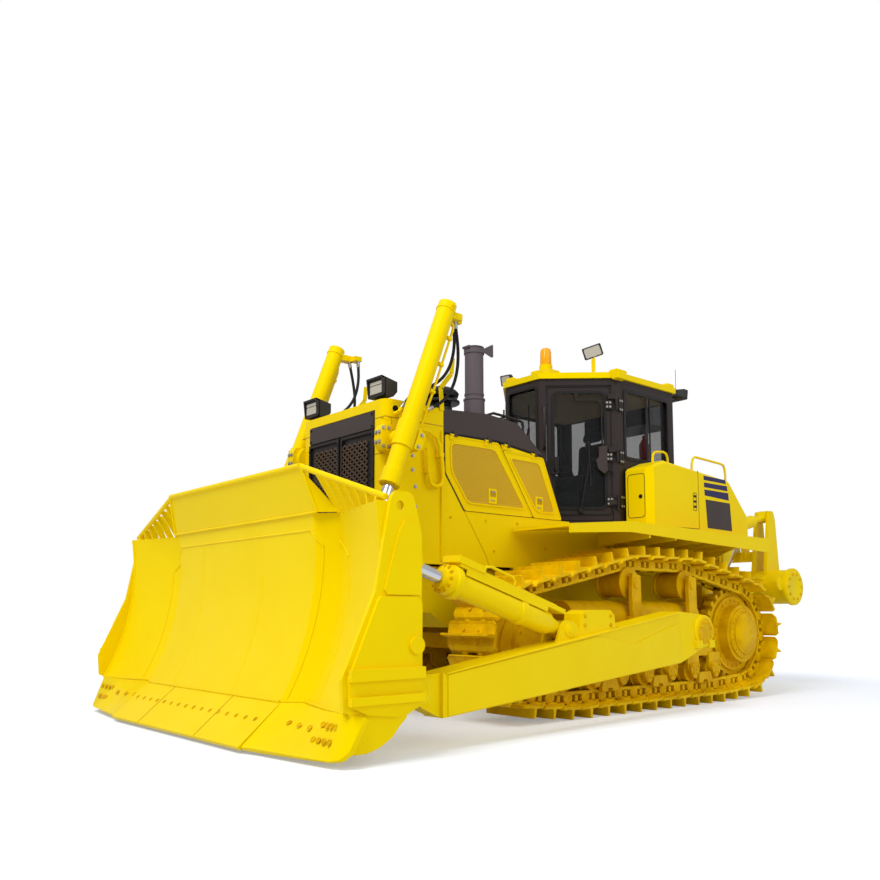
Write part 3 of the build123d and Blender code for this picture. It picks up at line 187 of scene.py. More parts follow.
@dataclass(frozen=True)
class Enamel(Finish):
    """Sprayed alkyd enamel on rolled plate: a faint orange peel and slow drifts of tone."""

    peel_mm: float = 9.0            # drawn coarser than the real 2 mm so that it shows
    peel_depth: float = 0.05
    drift: float = 0.06             # how far the tone drifts over a metre
    dusk: Optional[str] = None      # colour that the drift leans to

    def dress(self, tree: bpy.types.NodeTree, shader: bpy.types.Node,
              where: bpy.types.NodeSocket) -> None:
        """Tone drift and orange peel."""
        clouds = node(tree, "ShaderNodeTexNoise", sockets={
            "Vector": where, "Scale": 1.6, "Detail": 3.0, "Roughness": 0.55})
        ramp = node(tree, "ShaderNodeMapRange", sockets={
            "Value": clouds.outputs["Fac"], "From Min": 0.35, "From Max": 0.7,
            "To Min": 0.0, "To Max": self.drift * 6})
        shade = node(tree, "ShaderNodeMix", {"data_type": "RGBA"}, {
            "Factor": ramp.outputs["Result"], 6: srgb(self.colour), 7: srgb(self.dusk or self.colour)})
        tree.links.new(shade.outputs[2], shader.inputs["Base Color"])
        peel = node(tree, "ShaderNodeTexNoise", sockets={
            "Vector": where, "Scale": 1000.0 / self.peel_mm, "Detail": 2.0})
        worn = node(tree, "ShaderNodeMapRange", sockets={
            "Value": clouds.outputs["Fac"], "From Min": 0.3, "From Max": 0.75,
            "To Min": self.roughness - 0.06, "To Max": self.roughness + 0.08})
        tree.links.new(worn.outputs["Result"], shader.inputs["Roughness"])
        emboss(tree, shader, peel.outputs["Fac"], self.peel_depth, 0.002)


@dataclass(frozen=True)
class CastSteel(Finish):
    """Painted or bare sand-cast steel: a pebbled skin, with random patches of painted shade in a darker tone.
    """

    grain_mm: float = 14.0
    # darker tone of the painted shade, laid in random patches
    painted_shade: str = "#6b4a10"
    depth: float = 0.35

    def dress(self, tree: bpy.types.NodeTree, shader: bpy.types.Node,
              where: bpy.types.NodeSocket) -> None:
        """Pebble relief, and random patches of painted shade in a darker tone."""
        pebble = node(tree, "ShaderNodeTexNoise", sockets={
            "Vector": where, "Scale": 1000.0 / self.grain_mm, "Detail": 4.0, "Roughness": 0.6})
        # random patches where the colour turns to the darker painted shade
        patches = node(tree, "ShaderNodeTexNoise", sockets={
            "Vector": where, "Scale": 7.0, "Detail": 4.0, "Roughness": 0.6})
        share = node(tree, "ShaderNodeMapRange", sockets={
            "Value": patches.outputs["Fac"], "From Min": 0.42, "From Max": 0.72,
            "To Min": 0.0, "To Max": 0.55})
        shade = node(tree, "ShaderNodeMix", {"data_type": "RGBA"}, {
            "Factor": share.outputs["Result"], 6: srgb(self.colour), 7: srgb(self.painted_shade)})
        tree.links.new(shade.outputs[2], shader.inputs["Base Color"])
        emboss(tree, shader, pebble.outputs["Fac"], self.depth, 0.003)


@dataclass(frozen=True)
class Chrome(Finish):
    """Hard chrome on a ground rod: mirror bright with fine rings round it."""

    def dress(self, tree: bpy.types.NodeTree, shader: bpy.types.Node,
              where: bpy.types.NodeSocket) -> None:
        """Faint grinding streaks in the roughness."""
        streaks = node(tree, "ShaderNodeTexNoise", sockets={"Vector": where, "Scale": 180.0, "Detail": 2.0})
        span = node(tree, "ShaderNodeMapRange", sockets={
            "Value": streaks.outputs["Fac"], "To Min": self.roughness, "To Max": self.roughness + 0.1})
        tree.links.new(span.outputs["Result"], shader.inputs["Roughness"])


@dataclass(frozen=True)
class Glazing(Finish):
    """Tinted toughened glass in a thin pane."""

    cover: float = 0.35             # share of the view behind it that it hides

    def dress(self, tree: bpy.types.NodeTree, shader: bpy.types.Node,
              where: bpy.types.NodeSocket) -> None:
        """Let most light through, with faint waves in the gloss."""
        shader.inputs["Alpha"].default_value = self.cover
        waves = node(tree, "ShaderNodeTexNoise", sockets={"Vector": where, "Scale": 1.2, "Detail": 1.0})
        emboss(tree, shader, waves.outputs["Fac"], 0.015, 0.01)


@dataclass(frozen=True)
class Moulded(Finish):
    """Moulded plastic, rubber or vinyl with a fine leathery grain."""

    grain_mm: float = 4.0
    depth: float = 0.06

    def dress(self, tree: bpy.types.NodeTree, shader: bpy.types.Node,
              where: bpy.types.NodeSocket) -> None:
        """Grain from small cells."""
        cells = node(tree, "ShaderNodeTexVoronoi", sockets={
            "Vector": where, "Scale": 1000.0 / self.grain_mm})
        emboss(tree, shader, cells.outputs["Distance"], self.depth, 0.001)


@dataclass(frozen=True)
class Lens(Finish):
    """Moulded clear or amber lens over a lamp."""

    def dress(self, tree: bpy.types.NodeTree, shader: bpy.types.Node,
              where: bpy.types.NodeSocket) -> None:
        """Ribs of the lens."""
        ribs = node(tree, "ShaderNodeTexWave", {"bands_direction": "Z"}, {"Vector": where, "Scale": 25.0})
        emboss(tree, shader, ribs.outputs["Fac"], 0.3, 0.002)


# Yellow machine enamel: bright, half gloss, leaning to orange where it is thin.
YELLOW = Enamel("yellow_enamel", "#F3D400", roughness=0.45, dusk="#EAC600", gloss=0.22, sheen="#FFE000")
# The same paint over undercarriage castings and shoes, with random patches of painted shade.
YELLOW_CAST = CastSteel("yellow_cast_steel", "#E2B400", roughness=0.52, painted_shade="#B88600", sheen="#FFD000")
# Heavy track parts: yellow paint with random patches of brown painted shade.
TRACK_STEEL = CastSteel("painted_track_steel", "#F0C600", roughness=0.55, painted_shade="#B48608", depth=0.5,
                        sheen="#FFD060", slot="track_steel")
# Charcoal satin enamel of the hood and the cab's posts.
CHARCOAL = Enamel("charcoal_enamel", "#3F3533", roughness=0.38, dusk="#352B2A", drift=0.05, slot="charcoal")
# Darker satin of the cab posts.
CAB_CHARCOAL = Enamel("cab_charcoal", "#2E2423", roughness=0.4, dusk="#261E1D", slot="charcoal")
BLACK = Enamel("black_enamel", "#1B1615", roughness=0.4, dusk="#241E1C", slot="black")
# Heat-proof grey on the exhaust.
HEAT_GREY = Enamel("heat_proof_grey", "#5E5458", roughness=0.6, dusk="#4F4649", peel_depth=0.2,
                   slot="exhaust")
CHROME = Chrome("hard_chrome", "#D8D8DA", roughness=0.12, metallic=1.0, slot="chrome")
GLASS = Glazing("tinted_glass", "#1D2022", roughness=0.02, slot="glass")
VINYL = Moulded("black_vinyl", "#1C1A1B", roughness=0.55, slot="seat")
PLASTIC = Moulded("grey_moulded_plastic", "#2C2A2A", roughness=0.5, grain_mm=3.0, slot="plastic")
RUBBER = Moulded("black_rubber", "#181616", roughness=0.7, slot="rubber")
HEADLINER = Moulded("beige_headliner", "#D6C4A0", roughness=0.9, grain_mm=6.0, slot="plastic")
NAVY = Enamel("navy_enamel", "#2B2554", roughness=0.4, dusk="#241F48", slot="charcoal")
# Zinc-plated fittings: pale grey metal with a dull gloss.
STEEL = Chrome("zinc_plate", "#B9B6AE", roughness=0.34, metallic=1.0, slot="steel")
# Door insets of fine perforated sheet, in a darker yellow that is painted shade for their holes and recess.
SHADED_DOOR_INSET = Enamel("shaded_door_inset_yellow", "#CEA610", roughness=0.55, dusk="#C79C0C")
# Dusty dark enamel of the grille mesh.
GRILLE_BROWN = Enamel("dusty_grille", "#5C4A3C", roughness=0.6, dusk="#4C3C30", slot="black")
# Painted grey sheet of the cooler's cheeks, and the red of the extinguisher.
GREY_SHEET = Enamel("grey_sheet", "#9A9C9E", roughness=0.5, dusk="#8E9092", slot="plastic")
RED = Enamel("red_enamel", "#C0201C", roughness=0.3, dusk="#A81A18", slot="plastic")
# Shadowed joints in yellow plate, softer than a gap.
EDGE_LINE = Enamel("shaded_yellow", "#B89400", roughness=0.6, dusk="#A88400")
# Dark gap between two plates.
SEAM = Enamel("plate_gap", "#4A3B10", roughness=0.7)
AMBER = Lens("amber_lens", "#F8AC00", roughness=0.15, slot="amber")
CLEAR_LENS = Lens("clear_lamp_lens", "#B9B3A4", roughness=0.12, slot="plastic")

# CAD node (or its beginning) to the finish it gets.
CAD_FINISHES: tuple[tuple[str, Finish], ...] = (
    ("track_frame", YELLOW_CAST), ("track_rollers", YELLOW_CAST), ("track_", TRACK_STEEL),
    ("sprockets", YELLOW_CAST), ("idlers", YELLOW_CAST), ("carrier_rollers", YELLOW_CAST),
    ("equalizer_bar", YELLOW_CAST), ("grille_door", BLACK), ("hood_cover", CHARCOAL),
    ("exhaust_stack", HEAT_GREY), ("air_precleaner", BLACK), ("work_lamps", PLASTIC),
    ("beacon", AMBER), ("cab_frame", CAB_CHARCOAL), ("cab_glass", GLASS), ("cab_roof", YELLOW),
    ("cab_door", CAB_CHARCOAL), ("door_glass", GLASS), ("operator_seat", VINYL), ("seat_console", PLASTIC),
    ("lift_rod", CHROME), ("ripper_lift_rods", CHROME), ("engine_door", YELLOW), ("engine", CHARCOAL),
    ("", YELLOW),
)


def finish_for(name: str) -> Finish:
    """The finish of a CAD node, by the first listed beginning that fits.

    Args:
        name: the node's name.

    Returns:
        Its finish.
    """
    return next(finish for start, finish in CAD_FINISHES if name.startswith(start))


# =====================================================================================
# Mesh making
# =====================================================================================
class View(Enum):
    """Plane that a flat outline is drawn in; the third axis is the one it is thickened along."""

    SIDE = "XZ"
    FRONT = "YZ"
    TOP = "XY"


def lift(view: View, a: float, b: float, c: float) -> Vector:
    """Point from two outline coordinates and a depth.

    Args:
        view: plane of the outline.
        a: first coordinate in the plane.
        b: second coordinate in the plane.
        c: coordinate along the remaining axis.

    Returns:
        The point.
    """
    if view is View.SIDE:
        return Vector((a, c, b))
    if view is View.FRONT:
        return Vector((c, a, b))
    return Vector((a, b, c))


def basis(direction: Vector) -> tuple[Vector, Vector]:
    """Two unit vectors square to a direction."""
    helper = UP if abs(direction.z) < 0.9 else AHEAD
    first = direction.cross(helper).normalized()
    return first, direction.cross(first).normalized()


class Shape:
    """Mesh under construction, in the machine's own frame."""

    def __init__(self) -> None:
        """Start with nothing."""
        self.bm = bmesh.new()

    def hull_between(self, rings: Sequence[Sequence[Vector]], closed_ends: bool = True,
                     loop: bool = False) -> None:
        """Skin through rings of equal length.

        Args:
            rings: rings of points, in order along the form.
            closed_ends: whether the first and last ring get a face.
            loop: whether the last ring joins the first.
        """
        made = [[self.bm.verts.new(p) for p in ring] for ring in rings]
        pairs = list(zip(made, made[1:])) + ([(made[-1], made[0])] if loop else [])
        for one, two in pairs:
            for i in range(len(one)):
                j = (i + 1) % len(one)
                self.bm.faces.new((one[i], one[j], two[j], two[i]))
        if closed_ends and not loop:
            self.bm.faces.new(list(reversed(made[0])))
            self.bm.faces.new(made[-1])

    def prism(self, outline: Outline, view: View, low: float, high: float) -> "Shape":
        """Thicken a flat outline.

        Args:
            outline: its corners.
            view: plane it is drawn in.
            low: one face along the remaining axis.
            high: the other face.

        Returns:
            The shape itself.
        """
        self.hull_between([[lift(view, a, b, c) for a, b in outline] for c in (low, high)])
        return self

    def block(self, low: Sequence[float], high: Sequence[float]) -> "Shape":
        """Box from its lowest to its highest corner."""
        return self.prism([(low[0], low[1]), (high[0], low[1]), (high[0], high[1]), (low[0], high[1])],
                          View.TOP, low[2], high[2])

    def box(self, one: Point, two: Point) -> "Shape":
        """Box between two corners, each given by its distance ahead of the sprocket axle, across and up."""
        return self.block(*ordered(at(*one), at(*two)))

    def slab(self, outline: Outline, low: float, high: float) -> "Shape":
        """Plate upright along the machine, its outline measured from the sprocket axle and the ground."""
        return self.prism([(REAR + x, z) for x, z in outline], View.SIDE, low, high)

    def lathe(self, start: Vector, direction: Vector, profile: Outline,
              sides: int = 20) -> "Shape":
        """Turned form.

        Args:
            start: point on its axis.
            direction: the axis.
            profile: distance along the axis and radius, in order.
            sides: number of sides round it.

        Returns:
            The shape itself.
        """
        axis = direction.normalized()
        u, v = basis(axis)
        rings = []
        for along, radius in profile:
            centre = start + axis * along
            rings.append([
                centre + (u * math.cos(t) + v * math.sin(t)) * max(radius, 1e-4)
                for t in (2 * math.pi * k / sides for k in range(sides))
            ])
        self.hull_between(rings)
        return self

    def rod(self, start: Vector, end: Vector, radius: float, sides: int = 16) -> "Shape":
        """Round bar between two points."""
        run = end - start
        return self.lathe(start, run, [(0.0, radius), (run.length, radius)], sides)

    def pipe(self, path: Sequence[Vector], radius: float, sides: int = 10) -> "Shape":
        """Bent pipe along a path.

        Args:
            path: its centre line.
            radius: its radius.
            sides: number of sides round it.

        Returns:
            The shape itself.
        """
        rings = []
        u: Optional[Vector] = None
        for i, point in enumerate(path):
            ahead = path[min(i + 1, len(path) - 1)] - path[max(i - 1, 0)]
            axis = ahead.normalized()
            u = basis(axis)[0] if u is None else (u - axis * u.dot(axis)).normalized()
            v = axis.cross(u)
            rings.append([
                point + (u * math.cos(t) + v * math.sin(t)) * radius
                for t in (2 * math.pi * k / sides for k in range(sides))
            ])
        self.hull_between(rings)
        return self

    def beam(self, start: Vector, end: Vector, width: float, height: float,
             up: Vector = UP) -> "Shape":
        """Rectangular bar between two points.

        Args:
            start: middle of one end.
            end: middle of the other end.
            width: size square to the run and to up.
            height: size along up.
            up: which way its height points.

        Returns:
            The shape itself.
        """
        run = (end - start).normalized()
        side = run.cross(up).normalized() * width / 2
        rise = side.cross(run).normalized() * height / 2
        self.hull_between([[p + side + rise, p - side + rise, p - side - rise, p + side - rise]
                           for p in (start, end)])
        return self

    def mesh(self, name: str) -> bpy.types.Mesh:
        """The finished mesh, with its faces pointing out."""
        bmesh.ops.recalc_face_normals(self.bm, faces=self.bm.faces[:])
        made = bpy.data.meshes.new(name)
        self.bm.to_mesh(made)
        self.bm.free()
        return made

    def piece(self, name: str, finish: Finish, body: Optional[str], bevel_mm: float = 3.0,
              smooth: bool = True) -> bpy.types.Object:
        """Make the shape a piece that rides on a body.

        Args:
            name: the piece's name.
            finish: what covers it.
            body: the body that carries it; none for a piece that rides on no body.
            bevel_mm: rounding of its edges, 0 for none.
            smooth: whether round stretches are shaded smooth.

        Returns:
            The new object.
        """
        mesh = self.mesh(name)
        mesh.materials.append(finish.material())
        made = placed(name, mesh)
        settle(made, bevel_mm, smooth)
        if body:
            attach(made, body)
        log.info("%s rides on %s", name, body)
        return made


def settle(thing: bpy.types.Object, bevel_mm: float, smooth: bool) -> None:
    """Shade a piece and round its edges.

    Args:
        thing: the piece.
        bevel_mm: rounding of its edges, 0 for none.
        smooth: whether round stretches are shaded smooth.
    """
    if smooth:
        thing.data.shade_smooth()
        thing.data.set_sharp_from_angle(angle=math.radians(35))
    if bevel_mm:
        rounding = thing.modifiers.new("rounding", "BEVEL")
        rounding.width = bevel_mm / 1000
        rounding.segments = 2
        rounding.limit_method = "ANGLE"
        rounding.angle_limit = math.radians(40)
        rounding.harden_normals = True


@dataclass
class Repeater:
    """Geometry Nodes tree that sets copies of one pattern on places with their own directions."""

    tree_name: str = "pattern_on_places"

    def tree(self) -> bpy.types.NodeTree:
        """The node tree, made once: inputs Pattern, Size and Finish."""
        known = bpy.data.node_groups.get(self.tree_name)
        if known:
            return known
        made = bpy.data.node_groups.new(self.tree_name, "GeometryNodeTree")
        for name, kind in (("Geometry", "NodeSocketGeometry"), ("Pattern", "NodeSocketObject"),
                           ("Size", "NodeSocketFloat"), ("Finish", "NodeSocketMaterial")):
            made.interface.new_socket(name, in_out="INPUT", socket_type=kind)
        made.interface.new_socket("Geometry", in_out="OUTPUT", socket_type="NodeSocketGeometry")
        start = node(made, "NodeGroupInput")
        facing = node(made, "GeometryNodeInputNamedAttribute", {"data_type": "FLOAT_VECTOR"},
                      {"Name": "facing"})
        along = node(made, "GeometryNodeInputNamedAttribute", {"data_type": "FLOAT_VECTOR"},
                     {"Name": "along"})
        turn = node(made, "FunctionNodeAxesToRotation", {"primary_axis": "Z", "secondary_axis": "X"}, {
            "Primary Axis": facing.outputs[0], "Secondary Axis": along.outputs[0]})
        pattern = node(made, "GeometryNodeObjectInfo", {"transform_space": "ORIGINAL"}, {
            "Object": start.outputs["Pattern"]})
        copies = node(made, "GeometryNodeInstanceOnPoints", sockets={
            "Points": start.outputs["Geometry"], "Instance": pattern.outputs["Geometry"],
            "Rotation": turn.outputs[0], "Scale": start.outputs["Size"]})
        real = node(made, "GeometryNodeRealizeInstances", sockets={"Geometry": copies.outputs[0]})
        painted = node(made, "GeometryNodeSetMaterial", sockets={
            "Geometry": real.outputs[0], "Material": start.outputs["Finish"]})
        node(made, "NodeGroupOutput", sockets={"Geometry": painted.outputs[0]})
        return made

    def repeat(self, name: str, pattern: Shape, places: Sequence[Place],
               finish: Finish, body: str, size: float = 1.0, smooth: bool = True) -> bpy.types.Object:
        """Copies of a pattern as one plain mesh that rides on a body.

        Args:
            name: the piece's name.
            pattern: one copy, about the origin, its Z outwards and its X along.
            places: for each copy its point, its outward direction and its along direction.
            finish: what covers it.
            body: the body that carries it.
            size: scale of the pattern.
            smooth: whether round stretches are shaded smooth.

        Returns:
            The new object.
        """
        source = placed(name + "_pattern", pattern.mesh(name + "_pattern"))
        points = bpy.data.meshes.new(name + "_places")
        points.from_pydata([tuple(p) for p, _, _ in places], [], [])
        for label, index in (("facing", 1), ("along", 2)):
            layer = points.attributes.new(label, "FLOAT_VECTOR", "POINT")
            layer.data.foreach_set("vector", [c for place in places for c in place[index]])
        host = placed(name + "_host", points)
        modifier = host.modifiers.new("repeat", "NODES")
        modifier.node_group = self.tree()
        sockets = {s.name: s.identifier for s in modifier.node_group.interface.items_tree
                   if s.in_out == "INPUT"}
        modifier[sockets["Pattern"]] = source
        modifier[sockets["Size"]] = size
        modifier[sockets["Finish"]] = finish.material()
        plain = evaluated(host)
        plain.name = name
        for label in ("facing", "along"):
            if plain.attributes.get(label):
                plain.attributes.remove(plain.attributes[label])
        made = placed(name, plain)
        for extra in (host, source):
            bpy.data.objects.remove(extra)
        settle(made, 0.0, smooth)
        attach(made, body)
        log.info("%s rides on %s: %d copies", name, body, len(places))
        return made


def bolt_head(radius: float, height: float) -> Shape:
    """Hexagon head on its washer, standing on the origin."""
    head = Shape()
    head.lathe(ORIGIN, UP, [(0.0, radius * 1.35), (height * 0.25, radius * 1.35)], 12)
    head.lathe(Vector((0, 0, height * 0.25)), UP, [
        (0.0, radius), (height * 0.6, radius), (height * 0.75, radius * 0.8)], 6)
    return head


def button(radius: float, height: float) -> Shape:
    """Round plug or rivet head standing on the origin."""
    return Shape().lathe(ORIGIN, UP, [
        (0.0, radius), (height * 0.6, radius * 0.96), (height, radius * 0.7)], 14)


def ring_of(centre: Vector, axis: Vector, radius: float, count: int,
            start: float = 0.0) -> list[Place]:
    """Places spaced round a circle.

    Args:
        centre: the circle's centre.
        axis: its axis, which the copies face.
        radius: its radius.
        count: number of places.
        start: angle of the first one, in radians.

    Returns:
        Point, outward direction and along direction of each place.
    """
    u, v = basis(axis)
    spots = []
    for k in range(count):
        turn = start + 2 * math.pi * k / count
        out = u * math.cos(turn) + v * math.sin(turn)
        spots.append((centre + out * radius, axis, out))
    return spots


def ordered(one: Vector, two: Vector) -> tuple[Vector, Vector]:
    """Lowest and highest corner of the box between two points."""
    return (Vector([min(a, b) for a, b in zip(one, two)]), Vector([max(a, b) for a, b in zip(one, two)]))


REPEATER = Repeater()


def bolted(name: str, pattern: Shape, places: Sequence[Place], finish: Finish, body: str) -> None:
    """Row or ring of bolts with flat faces as one piece.

    Args:
        name: the piece's name.
        pattern: one bolt head.
        places: point, outward direction and along direction of each bolt.
        finish: what covers them.
        body: the body that carries them.
    """
    REPEATER.repeat(name, pattern, places, finish, body, smooth=False)


# =====================================================================================
# Outlines on flat sides
# =====================================================================================
def rounded(outline: Outline, radius: float, steps: int = 4) -> list[tuple[float, float]]:
    """Flat outline with its corners rounded.

    Args:
        outline: its corners.
        radius: how far from each corner the rounding starts.
        steps: number of chords to a corner.

    Returns:
        The rounded outline.
    """
    found = []
    count = len(outline)
    for i, corner in enumerate(outline):
        here = Vector(corner)
        ends = []
        for other in (outline[i - 1], outline[(i + 1) % count]):
            run = Vector(other) - here
            ends.append(here + run.normalized() * min(radius, run.length * 0.45))
        for k in range(steps + 1):
            t = k / steps
            point = ends[0] * (1 - t) ** 2 + here * 2 * t * (1 - t) + ends[1] * t * t
            found.append((point.x, point.y))
    return found


def pane(low_a: float, low_b: float, high_a: float, high_b: float,
         radius: float) -> list[tuple[float, float]]:
    """Rectangle with rounded corners, from its lowest to its highest corner."""
    return rounded([(low_a, low_b), (high_a, low_b), (high_a, high_b), (low_a, high_b)], radius)


def inside(outline: Outline, a: float, b: float, margin: float) -> bool:
    """Whether a spot lies in an outline, at least a margin from its edges."""
    within = False
    count = len(outline)
    spot = Vector((a, b))
    for i in range(count):
        one, two = Vector(outline[i]), Vector(outline[(i + 1) % count])
        if (one.y > b) != (two.y > b) and a < (two.x - one.x) * (b - one.y) / (two.y - one.y) + one.x:
            within = not within
        run = two - one
        share = max(0.0, min(1.0, (spot - one).dot(run) / run.length_squared))
        if (one + run * share - spot).length < margin:
            return False
    return within


@dataclass(frozen=True)
class Side:
    """Flat side of the machine that outlines are laid on."""

    corner: Vector          # point that the first coordinate is measured from, at height 0
    along: Vector           # direction of the first coordinate
    facing: Vector          # outwards

    def point(self, a: float, z: float, proud: float = 0.0) -> Vector:
        """Point from its place along the side, its height and its distance outwards."""
        return self.corner + self.along * a + Vector((0, 0, z)) + self.facing * proud

    def band(self, shape: Shape, outline: Outline, width: float, proud: float,
             closed: bool = True, sunk: float = 0.003) -> None:
        """Flat strip that follows an outline on the side.

        Args:
            shape: the shape that gets it.
            outline: its middle line.
            width: its width.
            proud: how far it stands out.
            closed: whether its end joins its start.
            sunk: how far its back is let in.
        """
        points = [self.point(a, z) for a, z in outline]
        count = len(points)
        rings = []
        for i, point in enumerate(points):
            before = points[i - 1] if closed or i else point
            after = points[(i + 1) % count] if closed or i < count - 1 else point
            into = (point - before).normalized() if (point - before).length else (after - point).normalized()
            away = (after - point).normalized() if (after - point).length else into
            run = (into + away).normalized()
            wide = run.cross(self.facing) * (width / 2 / max(0.5, run.dot(away)))
            low, high = self.facing * -sunk, self.facing * proud
            rings.append([point + wide + low, point + wide + high, point - wide + high, point - wide + low])
        shape.hull_between(rings, closed_ends=not closed, loop=closed)

    def strip(self, shape: Shape, path: Outline, width: float, proud: float) -> None:
        """Open strip along a path on the side."""
        self.band(shape, path, width, proud, closed=False)

    def plate(self, shape: Shape, outline: Outline, proud: float, sunk: float = 0.003) -> None:
        """Flat plate laid on the side."""
        shape.hull_between([[self.point(a, z, depth) for a, z in outline] for depth in (-sunk, proud)])


def flank(y: float, side: int) -> Side:
    """A side of the machine square to its width, measured ahead of the sprocket axle."""
    return Side(at(0, side * y, 0), AHEAD, outward(side))


def facing_ahead(ahead: float) -> Side:
    """The plane square to the machine's length, measured from its middle to the left."""
    return Side(at(ahead, 0, 0), ACROSS, AHEAD)


# =====================================================================================
# Undercarriage
# =====================================================================================
@dataclass(frozen=True)
class Wheel:
    """Circle that the pin line of the chain runs round: place, height and radius."""

    ahead: float
    height: float
    radius: float


@dataclass
class CrawlerChain:
    """One side's chain: single-grouser shoes bolted to forged links, laid round its wheels."""

    side: int
    pitch: float = 0.2286
    shoe_half: float = 0.28
    grouser_reach: float = 0.165        # pin line to grouser tip
    seat: float = 0.058                 # pin line to the shoe's underside
    rail: float = 0.052                 # pin line to the rail face
    rail_gap: float = 0.060
    rail_outer: float = 0.112
    corner_cut: float = 0.03
    bolt_spread: tuple[float, float] = (0.052, 0.086)
    wheels: tuple[Wheel, ...] = (
        Wheel(0.0, 0.680, 0.485), Wheel(0.980, 1.175, 0.180), Wheel(1.890, 1.175, 0.180),
        Wheel(3.275, 0.640, 0.430), Wheel(2.809, 0.3273, 0.1623), Wheel(0.530, 0.3273, 0.1623),
    )

    def normals(self) -> list[Vector]:
        """Outward direction of the straight run that leaves each wheel."""
        found = []
        for one, two in zip(self.wheels, self.wheels[1:] + self.wheels[:1]):
            run = Vector((two.ahead - one.ahead, two.height - one.height))
            unit = run.normalized()
            lean = (one.radius - two.radius) / run.length
            found.append(unit * lean + Vector((-unit.y, unit.x)) * math.sqrt(1 - lean * lean))
        return found

    def spots(self) -> list[Place]:
        """Place, outward and along direction of each shoe, evenly round the pin line."""
        normals = self.normals()
        line: list[tuple[Vector, Vector]] = []
        fine = math.radians(1.0)
        for k, wheel in enumerate(self.wheels):
            first = math.atan2(normals[k - 1].y, normals[k - 1].x)
            last = math.atan2(normals[k].y, normals[k].x)
            sweep = (first - last) % (2 * math.pi)
            steps = max(1, round(sweep / fine))
            for i in range(steps + 1):
                angle = first - sweep * i / steps
                out = Vector((math.cos(angle), math.sin(angle)))
                line.append((Vector((wheel.ahead, wheel.height)) + out * wheel.radius, out))
        line.append(line[0])
        lengths = [(b[0] - a[0]).length for a, b in zip(line, line[1:])]
        count = round(sum(lengths) / self.pitch)
        step = sum(lengths) / count
        found, travelled, target = [], 0.0, step / 2
        for (start, out_a), (end, out_b), length in zip(line, line[1:], lengths):
            while target <= travelled + length and len(found) < count:
                share = (target - travelled) / length
                here, out = start.lerp(end, share), out_a.lerp(out_b, share).normalized()
                found.append((at(here.x, self.side * TRACK_Y, here.y), Vector((out.x, 0, out.y)),
                              Vector((out.y, 0, -out.x))))
                target += step
            travelled += length
        return found

    def shoe(self, pattern: Shape) -> None:
        """Rolled shoe plate with bent lips, one tapered grouser and cut corners."""
        half = self.pitch / 2
        section = [
            (half + 0.012, 0.036), (half + 0.018, 0.044), (half + 0.002, 0.066), (half - 0.024, 0.078),
            (0.022, 0.083), (0.010, self.grouser_reach), (-0.010, self.grouser_reach), (-0.020, 0.084),
            (-half + 0.02, 0.083), (-half - 0.004, 0.090), (-half - 0.008, 0.078),
            (-half + 0.018, self.seat + 0.004), (half - 0.03, self.seat), (half - 0.004, 0.050),
        ]
        rings = []
        for y in (-self.shoe_half, self.corner_cut - self.shoe_half, self.shoe_half - self.corner_cut,
                  self.shoe_half):
            shrink = 0.8 if abs(y) == self.shoe_half else 1.0
            rings.append([Vector((x * shrink, y, z)) for x, z in section])
        pattern.hull_between(rings)
        for x in (-self.bolt_spread[0], self.bolt_spread[0]):
            for y in (-self.bolt_spread[1], self.bolt_spread[1]):
                pattern.lathe(Vector((x, y, 0.083)), UP, [(0.0, 0.019), (0.014, 0.017)], 6)

    def link(self, pattern: Shape, side: int) -> None:
        """Forged link: rail, shoe seat, two pin bosses and the post between its windows."""
        half = self.pitch / 2
        inner, outer = self.rail_gap, self.rail_outer
        low, high = sorted((side * inner, side * outer))
        pattern.block((-half - 0.03, low, -self.rail), (half + 0.03, high, -0.024))
        pattern.block((-half + 0.04, low, 0.034), (half - 0.04, high, self.seat + 0.002))
        pattern.block((-0.022, low, -0.03), (0.014, high, 0.04))
        middle = side * (inner + outer) / 2
        for x, near, radius in ((-half, middle, 0.054), (half, side * inner, 0.051)):
            pattern.rod(Vector((x, near, 0)), Vector((x, near + side * 0.027, 0)), radius, 14)
        pattern.lathe(Vector((-half, side * outer, 0)), outward(side), [
            (0.0, 0.034), (0.005, 0.034), (0.006, 0.022), (0.003, 0.020), (0.003, 0.010), (0.008, 0.008)], 12)

    def build(self) -> None:
        """Lay the chain and let it stand for the plain one."""
        pattern = Shape()
        self.shoe(pattern)
        for side in (LEFT, RIGHT):
            self.link(pattern, side)
        name = "left" if self.side == LEFT else "right"
        chain = REPEATER.repeat(f"crawler_chain_{name}", pattern, self.spots(), TRACK_STEEL, "root",
                                smooth=False)
        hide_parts(f"track_{name}")


